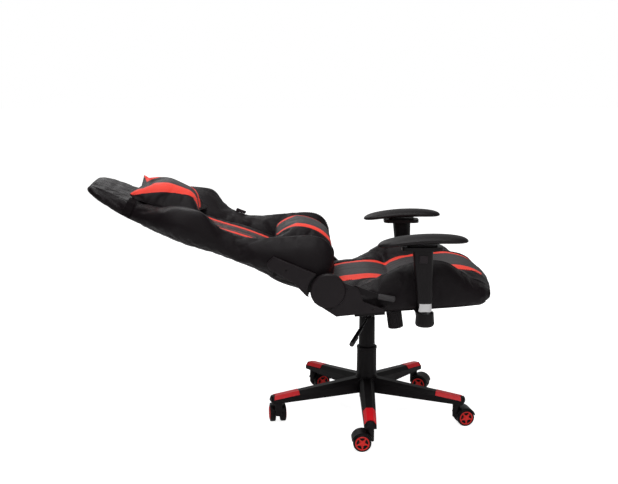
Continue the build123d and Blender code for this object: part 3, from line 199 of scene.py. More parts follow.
# A surface effect is a group of its own, with the outputs Height, Tone and Shine.
def newGroup(name, inputs):
    group = bpy.data.node_groups.new(name, "ShaderNodeTree")
    group.interface.new_socket(name="Place", in_out="INPUT", socket_type="NodeSocketVector")
    for label, value in inputs.items():
        socket = group.interface.new_socket(name=label, in_out="INPUT", socket_type="NodeSocketFloat")
        socket.default_value = value
    for label in ("Height", "Tone", "Shine"):
        group.interface.new_socket(name=label, in_out="OUTPUT", socket_type="NodeSocketFloat")
    return group, group.nodes.new("NodeGroupInput"), group.nodes.new("NodeGroupOutput")


def noiseNode(tree, place, scale, detail=2.0, roughness=0.5):
    inputs = {"Vector": place, "Scale": scale, "Detail": detail, "Roughness": roughness}
    return addNode(tree, "TexNoise", inputs).outputs["Fac"]


def wireOut(group, out, height, tone, shine):
    for label, socket in (("Height", height), ("Tone", tone), ("Shine", shine)):
        group.links.new(socket, out.inputs[label])
    return group


# Pebbles between fine creases, with a broad change of tone as on stretched leathercloth.
def hideGrainGroup():
    group, given, out = newGroup("hide grain", {"Scale": 900.0, "Broad": 9.0})
    place, scale = given.outputs["Place"], given.outputs["Scale"]
    cells = addNode(group, "TexVoronoi", {"Vector": place, "Scale": scale}, feature="DISTANCE_TO_EDGE")
    edge = mathNode(group, "MULTIPLY", cells.outputs["Distance"], 4.0)
    pebble = mathNode(group, "SMOOTH_MIN", edge, 1.0, 0.3)
    wander = noiseNode(group, place, mathNode(group, "MULTIPLY", scale, 0.3))
    broad = noiseNode(group, place, given.outputs["Broad"], 3.0)
    shine = mathNode(group, "MULTIPLY_ADD", pebble, -0.3, broad)
    return wireOut(group, out, mathNode(group, "ADD", pebble, wander), broad, shine)


# Warp over weft: two trains of round threads, each on top in every other square. The tone is darker where the
# threads are low, a painted shade between them, over a broad random change of tone.
def clothWeaveGroup():
    group, given, out = newGroup("cloth weave", {"Threads": 700.0, "Broad": 12.0})
    split = addNode(group, "SeparateXYZ", {0: given.outputs["Place"]})
    counts = [mathNode(group, "MULTIPLY", split.outputs[axis], given.outputs["Threads"]) for axis in "XY"]
    turns = [mathNode(group, "MULTIPLY", count, pi) for count in counts]
    warpRound, weftRound = (mathNode(group, "ABSOLUTE", mathNode(group, "SINE", turn)) for turn in turns)
    steps = mathNode(group, "ADD", *(mathNode(group, "FLOOR", count) for count in counts))
    onTop = mathNode(group, "PINGPONG", steps, 1.0)
    over = mathNode(group, "MULTIPLY", warpRound, onTop)
    under = mathNode(group, "MULTIPLY", weftRound, mathNode(group, "SUBTRACT", 1.0, onTop))
    height = mathNode(group, "ADD", over, under)
    broad = noiseNode(group, given.outputs["Place"], given.outputs["Broad"], 3.0)
    # Painted shade: the tone darkens where the thread height is low, between the threads.
    tone = mathNode(group, "MULTIPLY_ADD", height, -0.45, mathNode(group, "ADD", broad, 0.3))
    return wireOut(group, out, height, tone, broad)


# The fine spark-eroded grain of moulded plastic, or orange peel at a low scale.
def mouldGrainGroup():
    group, given, out = newGroup("mould grain", {"Scale": 1400.0, "Broad": 15.0})
    fine = noiseNode(group, given.outputs["Place"], given.outputs["Scale"], 3.0, 0.6)
    broad = noiseNode(group, given.outputs["Place"], given.outputs["Broad"], 4.0)
    shine = mathNode(group, "MULTIPLY_ADD", fine, 0.4, mathNode(group, "MULTIPLY", broad, 0.6))
    return wireOut(group, out, fine, broad, shine)


# Long faint lines along the piece, as on drawn tube, with handling marks.
def drawnMetalGroup():
    group, given, out = newGroup("drawn metal", {"Scale": 600.0, "Broad": 20.0})
    stretch = addNode(group, "Mapping", {"Vector": given.outputs["Place"], "Scale": (1.0, 1.0, 0.03)})
    lines = noiseNode(group, stretch.outputs["Vector"], given.outputs["Scale"], 2.0)
    broad = noiseNode(group, given.outputs["Place"], given.outputs["Broad"], 4.0)
    shine = mathNode(group, "MULTIPLY", mathNode(group, "ADD", lines, broad), 0.5)
    return wireOut(group, out, lines, broad, shine)


effects = {
    "hide": hideGrainGroup(),
    "weave": clothWeaveGroup(),
    "mould": mouldGrainGroup(),
    "drawn": drawnMetalGroup(),
}

# effect, two tones, limits of the roughness, strength and depth of the bump, specular, values, metallic
finishes = {
    "black leathercloth": (
        "hide", (0.0104, 0.0071, 0.0086), (0.0067, 0.0046, 0.0056), (0.38, 0.54), 0.35, 0.0005, 0.16,
    ),
    "grey leathercloth": (
        "hide", (0.046, 0.04, 0.042), (0.032, 0.028, 0.03), (0.5, 0.66), 0.3, 0.0005, 0.3,
    ),
    "red leathercloth": (
        "hide", (0.95, 0.062, 0.036), (0.84, 0.042, 0.026), (0.48, 0.62), 0.3, 0.0005, 0.25,
    ),
    "black webbing": (
        "weave", (0.0087, 0.006, 0.0072), (0.0054, 0.0037, 0.0045), (0.7, 0.85), 0.5, 0.0006, 0.09,
    ),
    "black thread": (
        "mould", (0.0156, 0.0107, 0.013), (0.0087, 0.006, 0.0072), (0.5, 0.65), 0.3, 0.0003, 0.24,
    ),
    "tag cloth": (
        "weave", (0.0264, 0.0182, 0.022), (0.0141, 0.0097, 0.0118), (0.6, 0.75),
        0.4, 0.0003, 0.18, {"Threads": 1500.0},
    ),
    "rose thread": (
        "mould", (0.55, 0.16, 0.14), (0.4, 0.1, 0.09), (0.5, 0.65), 0.3, 0.0003, 0.3,
    ),
    "base nylon": (
        "mould", (0.0062, 0.0043, 0.0052), (0.0043, 0.0029, 0.0036), (0.42, 0.58), 0.25, 0.0003, 0.21,
    ),
    "cover plastic": (
        "mould", (0.0146, 0.01, 0.0121), (0.0097, 0.0067, 0.0081), (0.38, 0.52),
        0.5, 0.0004, 0.27, {"Scale": 900.0},
    ),
    "arm plastic": (
        "mould", (0.007, 0.0049, 0.0059), (0.005, 0.0035, 0.0042), (0.34, 0.46), 0.15, 0.0003, 0.27,
    ),
    "arm padding": (
        "mould", (0.0084, 0.0058, 0.007), (0.0059, 0.0041, 0.005), (0.42, 0.56),
        0.2, 0.0004, 0.3, {"Scale": 500.0},
    ),
    "grip rubber": (
        "mould", (0.05, 0.046, 0.048), (0.036, 0.033, 0.035), (0.5, 0.66), 0.3, 0.0003, 0.35,
    ),
    "button plastic": (
        "mould", (0.0195, 0.0134, 0.0163), (0.0132, 0.0091, 0.011), (0.3, 0.45), 0.2, 0.0003, 0.3,
    ),
    "tyre nylon": (
        "mould", (0.0068, 0.0047, 0.0057), (0.0047, 0.0032, 0.0039), (0.36, 0.5), 0.2, 0.0003, 0.21,
    ),
    "red inlay": (
        "mould", (0.88, 0.008, 0.018), (0.74, 0.005, 0.012), (0.3, 0.42), 0.1, 0.0003, 0.3, {"Scale": 300.0},
    ),
    "red hub": (
        "mould", (0.86, 0.03, 0.026), (0.7, 0.02, 0.018), (0.36, 0.48), 0.1, 0.0003, 0.3,
    ),
    "black powder coat": (
        "mould", (0.0077, 0.0053, 0.0064), (0.0052, 0.0036, 0.0043), (0.38, 0.52),
        0.5, 0.0004, 0.24, {"Scale": 500.0},
    ),
    "chrome": (
        "drawn", (0.78, 0.77, 0.78), (0.66, 0.65, 0.66), (0.05, 0.12), 0.05, 0.0002, 0.5, {}, 1.0,
    ),
    "zinc steel": (
        "drawn", (0.48, 0.48, 0.47), (0.34, 0.34, 0.34), (0.28, 0.45), 0.2, 0.0003, 0.5, {}, 1.0,
    ),
    "spring steel": (
        "drawn", (0.16, 0.16, 0.165), (0.09, 0.09, 0.095), (0.3, 0.5), 0.2, 0.0003, 0.5, {}, 1.0,
    ),
}


# A material: the effect mixes two tones, sets the gloss between two limits and drives a bump.
def makeFinish(name, effectName, colour, second, roughness, strength, depth, specular, values={}, metallic=0.0):
    material = bpy.data.materials.new(name)
    material.use_nodes = True
    tree = material.node_tree
    place = addNode(tree, "TexCoord").outputs["Object"]
    given = addNode(tree, "Group", {"Place": place, **values}, node_tree=effects[effectName]).outputs
    tone = addNode(tree, "Mix", {0: given["Tone"], 6: (*colour, 1), 7: (*second, 1)}, data_type="RGBA")
    relief = {"Strength": strength, "Distance": depth, "Height": given["Height"]}
    sockets = {
        "Base Color": tone.outputs[2],
        "Roughness": mapped(tree, given["Shine"], (0.25, 0.75), roughness),
        "Normal": addNode(tree, "Bump", relief).outputs["Normal"],
        "Specular IOR Level": specular,
        "Metallic": metallic,
    }
    for label, value in sockets.items():
        feed(tree, tree.nodes["Principled BSDF"].inputs[label], value)
    return material


finish = {name: makeFinish(name, *recipe) for name, recipe in finishes.items()}
covering = ["black leathercloth", "grey leathercloth", "red leathercloth"]
print("finishes made:", len(finish))


# Each vector over its own length.
def unit(vectors):
    return vectors / (np.linalg.norm(vectors, axis=-1, keepdims=True) + 1e-12)


# Running totals from 0.
def totals(steps):
    return np.concatenate([[0], np.cumsum(steps)])


# The cubic that leaves here along out and reaches there along into, as t goes from 0 to 1.
def cubic(t, here, out, there, into):
    leaving = (1 + 2 * t) * (1 - t) ** 2 * here + t * (1 - t) ** 2 * out
    return leaving + t**2 * (3 - 2 * t) * there + t**2 * (t - 1) * into


# Rows of a table at any distance: a cubic through the rows, with each knot's slope from its neighbours.
def smoothTable(at, knots, table):
    knots, table = np.asarray(knots, float), np.asarray(table, float)
    slope = np.gradient(table, knots, axis=0)
    first = np.clip(np.searchsorted(knots, at, side="right") - 1, 0, len(knots) - 2)
    span = (knots[first + 1] - knots[first])[:, None]
    t = (np.asarray(at) - knots[first])[:, None] / span
    return cubic(t, table[first], span * slope[first], table[first + 1], span * slope[first + 1])


# Each row's control points joined by a closed cubic, steps[i] samples from point i to the next. The slope at
# a point is its two chords' directions, each weighted by the other's length.
def closedSections(control, steps):
    chord = np.roll(control, -1, axis=1) - control
    length = np.linalg.norm(chord, axis=2, keepdims=True) + 1e-9
    before, beforeLength = np.roll(chord, 1, axis=1), np.roll(length, 1, axis=1)
    slope = (before / beforeLength * length + chord / length * beforeLength) / (length + beforeLength)
    following, followingSlope = np.roll(control, -1, axis=1), np.roll(slope, -1, axis=1)
    spans = []
    for i, count in enumerate(steps):
        t = (np.arange(count) / count)[None, :, None]
        here, there = control[:, i : i + 1], following[:, i : i + 1]
        out = slope[:, i : i + 1] * length[:, i : i + 1]
        into = followingSlope[:, i : i + 1] * length[:, i : i + 1]
        spans.append(cubic(t, here, out, there, into))
    return np.concatenate(spans, axis=1)


# Control points from the middle of the front to the middle of the rear, and back up the other side.
def mirroredControl(half):
    half = np.stack([np.stack(pair, axis=-1) for pair in half], axis=1)
    other = half[:, -2:0:-1].copy()
    other[..., 0] *= -1
    return np.concatenate([half, other], axis=1)


# At each point, the way round its row crossed with the way from row to row.
def gridNormals(points):
    around = np.roll(points, -1, axis=1) - np.roll(points, 1, axis=1)
    return unit(np.cross(around, np.gradient(points, axis=0)))


# The faces between each row and the next, closed round the row.
def gridQuads(rows, columns):
    here = np.arange(rows * columns).reshape(rows, columns)
    beside = np.roll(here, -1, axis=1)
    return np.stack([here[:-1], beside[:-1], beside[1:], here[1:]], axis=-1).reshape(-1, 4)


def addMesh(name, points, quads, materials, slots=None):
    mesh = bpy.data.meshes.new(name)
    mesh.from_pydata(np.asarray(points).reshape(-1, 3).tolist(), [], np.asarray(quads).tolist())
    for material in materials:
        mesh.materials.append(finish[material])
    if slots is not None:
        mesh.polygons.foreach_set("material_index", np.asarray(slots, np.int32).ravel())
    mesh.polygons.foreach_set("use_smooth", np.ones(len(mesh.polygons), bool))
    mesh.update()
    piece = bpy.data.objects.new(name, mesh)
    bpy.context.scene.collection.objects.link(piece)
    return piece


# A closed grid of quads whose UV map is the real distance along and around the cover, in metres.
def addSoftGrid(name, points, materials, slots):
    rows, columns = points.shape[:2]
    piece = addMesh(name, points, gridQuads(rows, columns), materials, slots)
    around = np.linalg.norm(np.roll(points, -1, axis=1) - points, axis=2)
    middle = totals(around[rows // 2])
    along = np.linalg.norm(np.diff(points, axis=0), axis=2).mean(axis=1)
    down = totals(along)
    u, v = np.meshgrid(middle, down)
    first, last = slice(0, -1), slice(1, None)
    corners = [(first, first), (first, last), (last, last), (last, first)]
    pairs = np.stack([np.stack([u[corner], v[corner]], axis=-1) for corner in corners], axis=2)
    layer = piece.data.uv_layers.new(name="cloth")
    layer.data.foreach_set("uv", pairs.astype(np.float32).ravel())
    return piece


def readPoints(piece, shape):
    flat = np.empty(len(piece.data.vertices) * 3, np.float32)
    piece.data.vertices.foreach_get("co", flat)
    return flat.reshape(shape).astype(float)


def writePoints(piece, points):
    piece.data.vertices.foreach_set("co", np.asarray(points, np.float32).ravel())
    piece.data.update()


stuffing = {"frames": 20, "quality": 5, "mass": 0.3, "pressure": 4.0}


# Blows the cover out like stuffing: cloth under pressure, held at its seams, that moves by reach at most.
def puff(piece, held, reach, slack):
    shape = (len(piece.data.vertices), 3)
    before = readPoints(piece, shape)
    seams = piece.vertex_groups.new(name="seams")
    seams.add(np.flatnonzero(held.ravel()).tolist(), 1.0, "REPLACE")
    cloth = piece.modifiers.new("stuffing", "CLOTH")
    settings = cloth.settings
    settings.quality = stuffing["quality"]
    settings.mass = stuffing["mass"]
    settings.use_pressure = True
    settings.uniform_pressure_force = stuffing["pressure"]
    settings.shrink_min = -slack
    settings.vertex_group_mass = "seams"
    settings.effector_weights.gravity = 0
    cloth.point_cache.frame_start = 1
    cloth.point_cache.frame_end = stuffing["frames"]
    for number in range(1, stuffing["frames"] + 1):
        bpy.context.scene.frame_set(number)
    blown = piece.evaluated_get(bpy.context.evaluated_depsgraph_get())
    after = np.empty(shape[0] * 3, np.float32)
    blown.data.vertices.foreach_get("co", after)
    move = after.reshape(shape) - before
    length = np.linalg.norm(move, axis=1, keepdims=True)
    piece.modifiers.remove(cloth)
    piece.vertex_groups.remove(seams)
    writePoints(piece, before + move * np.minimum(1, reach / (length + 1e-9)))
    bpy.context.scene.frame_set(1)


# A soft grid whose held points stay where they are while the rest is blown out, and its points after that.
def sewn(name, points, slots, held, reach, slack):
    piece = addSoftGrid(name, points, covering, slots)
    puff(piece, held, reach, slack)
    return piece, readPoints(piece, points.shape)


# How far each point is, round its row, from the point of that row in the given column.
def distanceFrom(points, column):
    step = np.linalg.norm(np.roll(points, -1, axis=1) - points, axis=2)
    run = np.concatenate([np.zeros((len(points), 1)), np.cumsum(step, axis=1)], axis=1)
    gap = np.abs(run[:, :-1] - run[:, column : column + 1])
    return np.minimum(gap, run[:, -1:] - gap)


# Pulls the cover in at each seam: depth times a bell curve of the distance from it.
def groove(points, columns, depth, width):
    pull = sum(np.exp(-((distanceFrom(points, column) / width) ** 2)) for column in columns)
    return points - gridNormals(points) * (depth * np.minimum(pull, 1))[..., None]


# Fills the rings that a tube, pad or cover ends in, and adds one subdivision.
def closeEnds(piece, welded=0.0):
    shape = bmesh.new()
    shape.from_mesh(piece.data)
    if welded:
        bmesh.ops.remove_doubles(shape, verts=shape.verts, dist=welded)
    edges = [edge for edge in shape.edges if edge.is_boundary]
    for cap in bmesh.ops.holes_fill(shape, edges=edges, sides=0)["faces"]:
        cap.smooth = True
    if not welded:
        bmesh.ops.recalc_face_normals(shape, faces=shape.faces)
    shape.to_mesh(piece.data)
    shape.free()
    smooth = piece.modifiers.new("smooth", "SUBSURF")
    smooth.levels = smooth.render_levels = 1


# A tube through rows of points, closed at its ends, that rides on a body.
def addTube(name, points, material, body):
    piece = addMesh(name, points, gridQuads(*points.shape[:2]), [material])
    closeEnds(piece)
    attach(piece, body)
    return piece


# Closes a cover's ends and hands it to its body as a padded piece.
def finishSoft(piece, body, replaced):
    closeEnds(piece, welded=0.0001)
    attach(piece, body)
    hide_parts(replaced)


# A round cord on a path: circles across it, with closed ends.
def cordAlong(path, normals, radius, sides=8):
    tangent = unit(np.gradient(path, axis=0))
    across = unit(np.cross(normals, tangent))
    up = np.cross(tangent, across)
    turn = np.arange(sides) * 2 * pi / sides
    ring = across[:, None] * np.cos(turn)[:, None] + up[:, None] * np.sin(turn)[:, None]
    path = np.concatenate([path[:1], path, path[-1:]])
    ring = np.concatenate([ring[:1], ring, ring[-1:]])
    size = np.full(len(path), radius)
    size[[0, -1]] = 1e-5
    points = path[:, None] + ring * size[:, None, None]
    return points.reshape(-1, 3), gridQuads(len(path), sides)


# The path and its normals at even steps of pitch.
def resampled(path, normals, pitch):
    run = totals(np.linalg.norm(np.diff(path, axis=0), axis=1))
    at = np.arange(pitch / 2, run[-1], pitch)
    place = np.stack([np.interp(at, run, path[:, k]) for k in range(3)], axis=1)
    normal = np.stack([np.interp(at, run, normals[:, k]) for k in range(3)], axis=1)
    return place, unit(normal)


stitch = {
    "pitch": 0.0068, "length": 0.0048, "radius": 0.00065, "sides": 6,
    "places": (-0.5, -0.38, 0, 0.38, 0.5),  # of its rings, as shares of the length
    "sizes": (0.02, 0.8, 1, 0.8, 0.02),
}


# A row of thread stitches: a short spindle at each step of the path.
def stitchesAlong(path, normals):
    place, normal = resampled(path, normals, stitch["pitch"])
    tangent = unit(np.gradient(place, axis=0))
    across = np.cross(normal, tangent)
    along = np.array(stitch["places"]) * stitch["length"]
    thick = np.array(stitch["sizes"]) * stitch["radius"]
    turn = np.arange(stitch["sides"]) * 2 * pi / stitch["sides"]
    ring = across[:, None] * np.cos(turn)[:, None] + normal[:, None] * np.sin(turn)[:, None]
    points = (
        place[:, None, None]
        + tangent[:, None, None] * along[:, None, None]
        + ring[:, None] * thick[:, None, None]
    )
    quads = gridQuads(len(along), stitch["sides"])
    offset = np.arange(len(place))[:, None, None] * len(along) * stitch["sides"]
    return points.reshape(-1, 3), (quads[None] + offset).reshape(-1, 4)


# Several point and quad sets as one piece that rides on a body.
def joined(name, parts, material, body):
    starts = np.cumsum([0] + [len(points) for points, quads in parts[:-1]])
    points = np.concatenate([part[0] for part in parts])
    quads = np.concatenate([part[1] + start for part, start in zip(parts, starts)])
    piece = addMesh(name, points, quads, [material])
    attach(piece, body)
    return piece


# A line that runs beside a column of the grid, shift away round the section and just on the cover.
def besideColumn(points, normals, column, shift, rows):
    near = np.arange(-14, 15)
    order = (column + near) % points.shape[1]
    signed = (distanceFrom(points, column)[:, order] * np.sign(near))[rows]
    before = (signed <= shift).sum(axis=1) - 1
    row = np.arange(len(rows))
    share = ((shift - signed[row, before]) / (signed[row, before + 1] - signed[row, before]))[:, None]
    here, there = order[before], order[before + 1]
    path = points[rows, here] * (1 - share) + points[rows, there] * share
    normal = normals[rows, here] * (1 - share) + normals[rows, there] * share
    return path, unit(normal)


# Stitches for each line, given as a pair of columns, the shifts from them and the rows.
def seamStitches(points, normals, lines):
    return [
        stitchesAlong(*besideColumn(points, normals, column, shift, rows))
        for pair, shifts, rows in lines
        for column in pair
        for shift in shifts
    ]


# A cord on both columns of a pair, its middle proud of the cover.
def seamCords(points, normals, pair, rows, radius, proud=0.0):
    paths = [(points[rows, column] + proud * normals[rows, column], normals[rows, column]) for column in pair]
    return [cordAlong(path, normal, radius) for path, normal in paths]


# Pulls a cover in at its seams, and sews its stitches beside them.
def sewSeams(piece, points, along, both, given, front=1.0):
    for seam, depth, width, fades in given["grooves"]:
        points = groove(points, both[seam], depth * front if fades else depth, width)
    writePoints(piece, points)
    normals = gridNormals(points)
    rows = np.arange(closing["rows"] + 2, len(along) - closing["rows"] - 2)
    lines = [(both[seam], shifts, rows[: len(rows) - bare]) for seam, shifts, bare in given["stitches"]]
    joined(given["body"] + "_stitching", seamStitches(points, normals, lines), "black thread", given["body"])
    return points, normals, rows


# Material slots of a cover: grey between the stripes and red in them on the rows that show them, or black.
def panelSlots(middleRows, stripeRows, total, inner, outer):
    fromMiddle = np.minimum(np.arange(total), total - 1 - np.arange(total))
    slots = np.zeros((len(middleRows), total), int)
    slots[np.ix_(middleRows, fromMiddle < outer)] = 1
    slots[np.ix_(stripeRows, (fromMiddle >= inner) & (fromMiddle < outer))] = 2
    return slots


# 1 at the middle, and e to the minus square of the distance over the width beside it.
def bell(value, middle, width):
    return np.exp(-(((value - middle) / width) ** 2))


# An uneven train of folds: a few cosines of place with seeded lengths and phases.
def ripples(place, seed, waves, amplitude):
    chance = np.random.default_rng(seed)
    lengths = chance.uniform(*waves, 5)
    phases = chance.uniform(0, 2 * pi, 5)
    train = sum(np.cos(2 * pi * place / length + phase) for length, phase in zip(lengths, phases))
    return amplitude * train / 5


# Folds beside a crest: an uneven train, moved on the near side, where bells along and off the crest allow it.
def foldLift(x, along, gap, folds):
    where = sum(
        strength * bell(along[:, None], place, spread) * bell(gap, off, offSpread)
        for place, spread, off, offSpread, strength in folds["bells"]
    )
    train = along[:, None] + folds["slant"] * gap + np.where(x > 0, 0.0, folds["shift"])
    return ripples(train, folds["seed"], folds["waves"], folds["height"]) * where


print("surface tools ready")

back = {
    "body": "back",
    "pivot": joints["back_recline"]["pos_m"],
    "rise": 26.0,  # degrees above level
    "stripe": (0.042, 0.072),  # inner and outer edge of each red stripe
    "stripeEnd": 0.600,
    "step": 0.0075,
    "lowerEnd": 0.014,
    "upperEnd": 0.009,
    "stripeStart": 0.030,
    "shoulder": (0.450, 0.050),  # place and spread of the fuller shoulders
    "fade": (0.670, 0.05),  # where the front's seams end, and over what length
    "quilted": (0.20, 0.50),
    "puff": (0.006, 0.015),  # reach and slack of the cloth
    # seam, depth and width of its groove, and whether it fades with the front's seams
    "grooves": (
        ("valley", 0.0050, 0.0085, True), ("crest", 0.0014, 0.0035, False),
        ("rear", 0.0020, 0.0040, False), ("fine", 0.0008, 0.0022, True),
    ),
    # seam, distances of its stitches, rows at the upper end without any
    "stitches": (("crest", (-0.005, 0.005), 0), ("rear", (0.005,), 0), ("valley", (0.007,), 6)),
    "quilting": (0.0009, 0.0004),  # radius of the cord, and how far its middle is proud
    "welt": 0.0016,
    "folds": {
        "seed": 4, "waves": (0.013, 0.036), "height": 0.0026, "slant": 0.6, "shift": 0.011,
        # place along and its spread, distance off the crest and its spread, strength
        "bells": (
            (0.375, 0.055, 0.022, 0.020, 1.0),
            (0.300, 0.060, 0.050, 0.030, 0.7),
            (0.570, 0.030, 0.020, 0.020, 0.5),
        ),
    },
}
# in mm: distance from the pivot, half width, panel, crest and rear heights, panel half width, crest place
backStations = np.array([
    (12, 234, 20.5, 72, -30, 150, 203),
    (21, 242, 20, 95, -33, 150, 207),
    (32, 249, 20, 108, -34.5, 150, 211),
    (46, 255, 19, 121.5, -35.5, 150, 214),
    (60, 258, 18, 129, -36, 150, 215),
    (75, 259.5, 16.5, 132.5, -36.5, 150, 215),
    (95, 260, 15, 131.5, -37, 150, 215),
    (120, 260, 13, 123.5, -39.5, 149, 214),
    (145, 260, 11.5, 112, -42, 148, 213),
    (200, 253, 8, 80.5, -43, 142, 210),
    (245, 244, 5, 54, -46, 136, 205),
    (290, 238, 1, 31.5, -51, 130, 202),
    (320, 238, -3, 22.5, -53, 125, 203),
    (350, 240, -8, 19.5, -55, 120, 206),
    (375, 244, -12, 20.5, -57, 115, 209),
    (397, 250, -15, 26, -59, 112, 211),
    (429, 257, -18.5, 36, -61.5, 108, 213),
    (454, 262, -21, 40.5, -63.5, 105, 214),
    (477, 264, -22.5, 40.5, -65, 104, 215),
    (496, 264.5, -23.5, 37.5, -66, 104, 215),
    (515, 264.5, -24, 32, -67, 104, 215),
    (540, 259.5, -24, 21, -69.5, 106, 211),
    (565, 249, -24, 5, -73, 108, 205),
    (600, 217, -24, -19, -80, 112, 180),
    (640, 181, -31, -35, -85, 110, 150),
    (690, 159, -37.5, -43, -87, 100, 134),
    (740, 153, -41, -48, -85, 95, 128),
    (778, 143, -42.5, -51, -82.5, 84, 116),
    (798, 130, -45, -53.5, -80, 66, 105),
    (809, 113, -49, -56, -78, 52, 90),
]) / 1000


# Across, along the back from the pivot, and towards the sitter, as points in the row.
def backPoint(x, along, height):
    rise = radians(back["rise"])
    x, along, height = np.broadcast_arrays(x, along, height)
    y = back["pivot"][1] + along * cos(rise) - height * sin(rise)
    z = back["pivot"][2] + along * sin(rise) + height * cos(rise)
    return np.stack([x, y, z], axis=-1)


closing = {"rows": 6, "narrowing": 0.03, "slit": 0.05}


# Adds rows at both ends that close the section to a slit along an elliptical edge.
def roundedEnds(section, along, reachLow, reachHigh):
    turn = (np.arange(1, closing["rows"] + 1) / closing["rows"]) * pi / 2
    middle = (section[..., 1].max(axis=1, keepdims=True) + section[..., 1].min(axis=1, keepdims=True)) / 2

    def closed(row, reach):
        x = section[row][None, :, 0] * (1 - closing["narrowing"] * (1 - np.cos(turn))[:, None])
        flat = section[row][None, :, 1] - middle[row]
        height = middle[row] + flat * np.maximum(np.cos(turn), closing["slit"])[:, None]
        return np.stack([x, height], axis=-1), along[row] + reach * np.sin(turn)

    low, lowAlong = closed(0, -reachLow)
    high, highAlong = closed(-1, reachHigh)
    return np.concatenate([low[::-1], section, high]), np.concatenate([lowAlong[::-1], along, highAlong])


# At each row along the back, a closed cubic through its middle, stripes, valley, crest, side and rear, with
# heights and widths from the stations. It is blown out, then lifted by its folds and pulled in at its seams.
def makeBack():
    along = np.arange(backStations[0, 0], backStations[-1, 0] + 1e-6, back["step"])
    width, panel, crest, rear, panelHalf, crestX = smoothTable(along, backStations[:, 0], backStations[:, 1:]).T
    depth = crest - rear
    inner = np.minimum(back["stripe"][0], 0.5 * panelHalf)
    outer = np.minimum(back["stripe"][1], 0.66 * panelHalf)
    half = [
        (0 * width, panel + 0.003),
        (inner, panel + 0.0025),
        (outer, panel + 0.002),
        (panelHalf, panel),
        (0.5 * (panelHalf + crestX) - 0.008, panel + 0.42 * (crest - panel)),
        (crestX - 0.016, panel + 0.88 * (crest - panel)),
        (crestX + 0.004, crest),
        (crestX + 0.62 * (width - crestX), crest - (0.15 - 0.19 * bell(along, *back["shoulder"])) * depth),
        (width - 0.002, rear + 0.58 * depth),
        (width, rear + 0.36 * depth),
        (width - 0.008, rear + 0.1 * depth),
        (width - 0.027, rear),
        (0.5 * (width - 0.027), rear - 0.001),
        (0 * width, rear - 0.002),
    ]
    control = mirroredControl(half)
    steps = [7, 2, 8, 5, 5, 4, 4, 6, 4, 5, 3, 13, 13]
    section = closedSections(control, steps + steps[::-1])
    section, along = roundedEnds(section, along, back["lowerEnd"], back["upperEnd"])
    points = backPoint(section[..., 0], along[:, None], section[..., 1])
    column = totals(steps)
    total = section.shape[1]
    seams = {
        "quilting": 4, "stripeInner": column[1], "stripeOuter": column[2], "valley": column[3],
        "crest": column[6], "rear": column[11],
    }
    both = {name: (place, total - place) for name, place in seams.items()}

    shown = along[:-1] < back["stripeEnd"]
    striped = shown & (along[:-1] > back["stripeStart"])
    slots = panelSlots(shown, striped, total, column[1], column[2])
    held = np.zeros(section.shape[:2], bool)
    held[: closing["rows"] + 1] = held[-closing["rows"] - 1 :] = True
    for pair in both.values():
        held[:, list(pair)] = True
    piece, points = sewn("back_cover", points, slots, held, *back["puff"])

    gapCrest = np.minimum(*[distanceFrom(points, place) for place in both["crest"]])
    points = points + gridNormals(points) * foldLift(section[..., 0], along, gapCrest, back["folds"])[..., None]
    fadeEnd, fadeLength = back["fade"]
    front = np.clip((fadeEnd - along) / fadeLength, 0, 1)[:, None]
    both["fine"] = both["stripeInner"] + both["stripeOuter"] + both["quilting"]
    points, normals, rows = sewSeams(piece, points, along, both, back, front)
    start, end = back["quilted"]
    middle = rows[(along[rows] > start) & (along[rows] < end)]
    cords = seamCords(points, normals, both["quilting"], middle, *back["quilting"])
    joined("back_quilting", cords, "rose thread", "back")
    welts = seamCords(points, normals, both["rear"], rows, back["welt"])
    joined("back_piping", welts, "black leathercloth", "back")
    finishSoft(piece, "back", "back_cushion")


makeBack()
print("backrest covered")

seat = {
    "body": "seat",
    "height": 0.428,  # of the seat plate, above the floor, on the lift's axis
    "rake": 3.5,
    "stripe": (0.085, 0.139),
    "crease": -0.073,
    "creaseWidth": 0.007,
    "creasePull": 0.005,
    "creaseEnd": (0.185, 0.04),  # how far out it runs, and over what length it fades
    "nose": {"start": -0.275, "length": 0.11, "bow": 0.026, "reach": 0.006},
    "blackFrom": -0.378,
    "lowerEnd": 0.006,
    "upperEnd": 0.008,
    "step": 0.0075,
    "puff": (0.006, 0.012),
    "grooves": (
        ("valley", 0.0035, 0.007, False), ("crest", 0.0018, 0.004, False), ("fine", 0.0008, 0.0022, False),
    ),
    "stitches": (("crest", (-0.005, 0.005), 0), ("valley", (0.006,), 0)),
    "welt": 0.0018,
    "folds": {
        "seed": 9, "waves": (0.014, 0.035), "height": 0.0028, "slant": 0.0, "shift": 0.009,
        "bells": ((-0.30, 0.06, 0.03, 0.03, 1.0), (0.03, 0.07, 0.03, 0.03, 0.6)),
    },
}
# in mm: distance behind the lift, half width, middle, crest and lower heights
seatStations = np.array([
    (122, 226, 78, 73, 6),
    (100, 239, 80.5, 76.5, 1),
    (60, 249, 83, 75.5, 0.8),
    (16.5, 254.5, 84.5, 83, 0.8),
    (-12, 256, 84, 96, 0.8),
    (-40, 257.5, 81.5, 111, 0.8),
    (-58, 258, 78, 120, 0.8),
    (-72, 258.5, 75, 126.5, 0.8),
    (-90, 259, 81, 134.5, 0.8),
    (-120, 259, 87.5, 142.5, 0.8),
    (-160, 259, 92, 147, 0.8),
    (-200, 259, 94.5, 147.5, 0.8),
    (-245, 258, 96, 136, 0.8),
    (-285, 255, 95.5, 107.5, 0.8),
    (-325, 249, 88.5, 79, 0.8),
    (-352, 243, 79, 68, 1),
    (-372, 233, 66, 56, 6),
    (-386, 216, 50, 43, 11),
]) / 1000


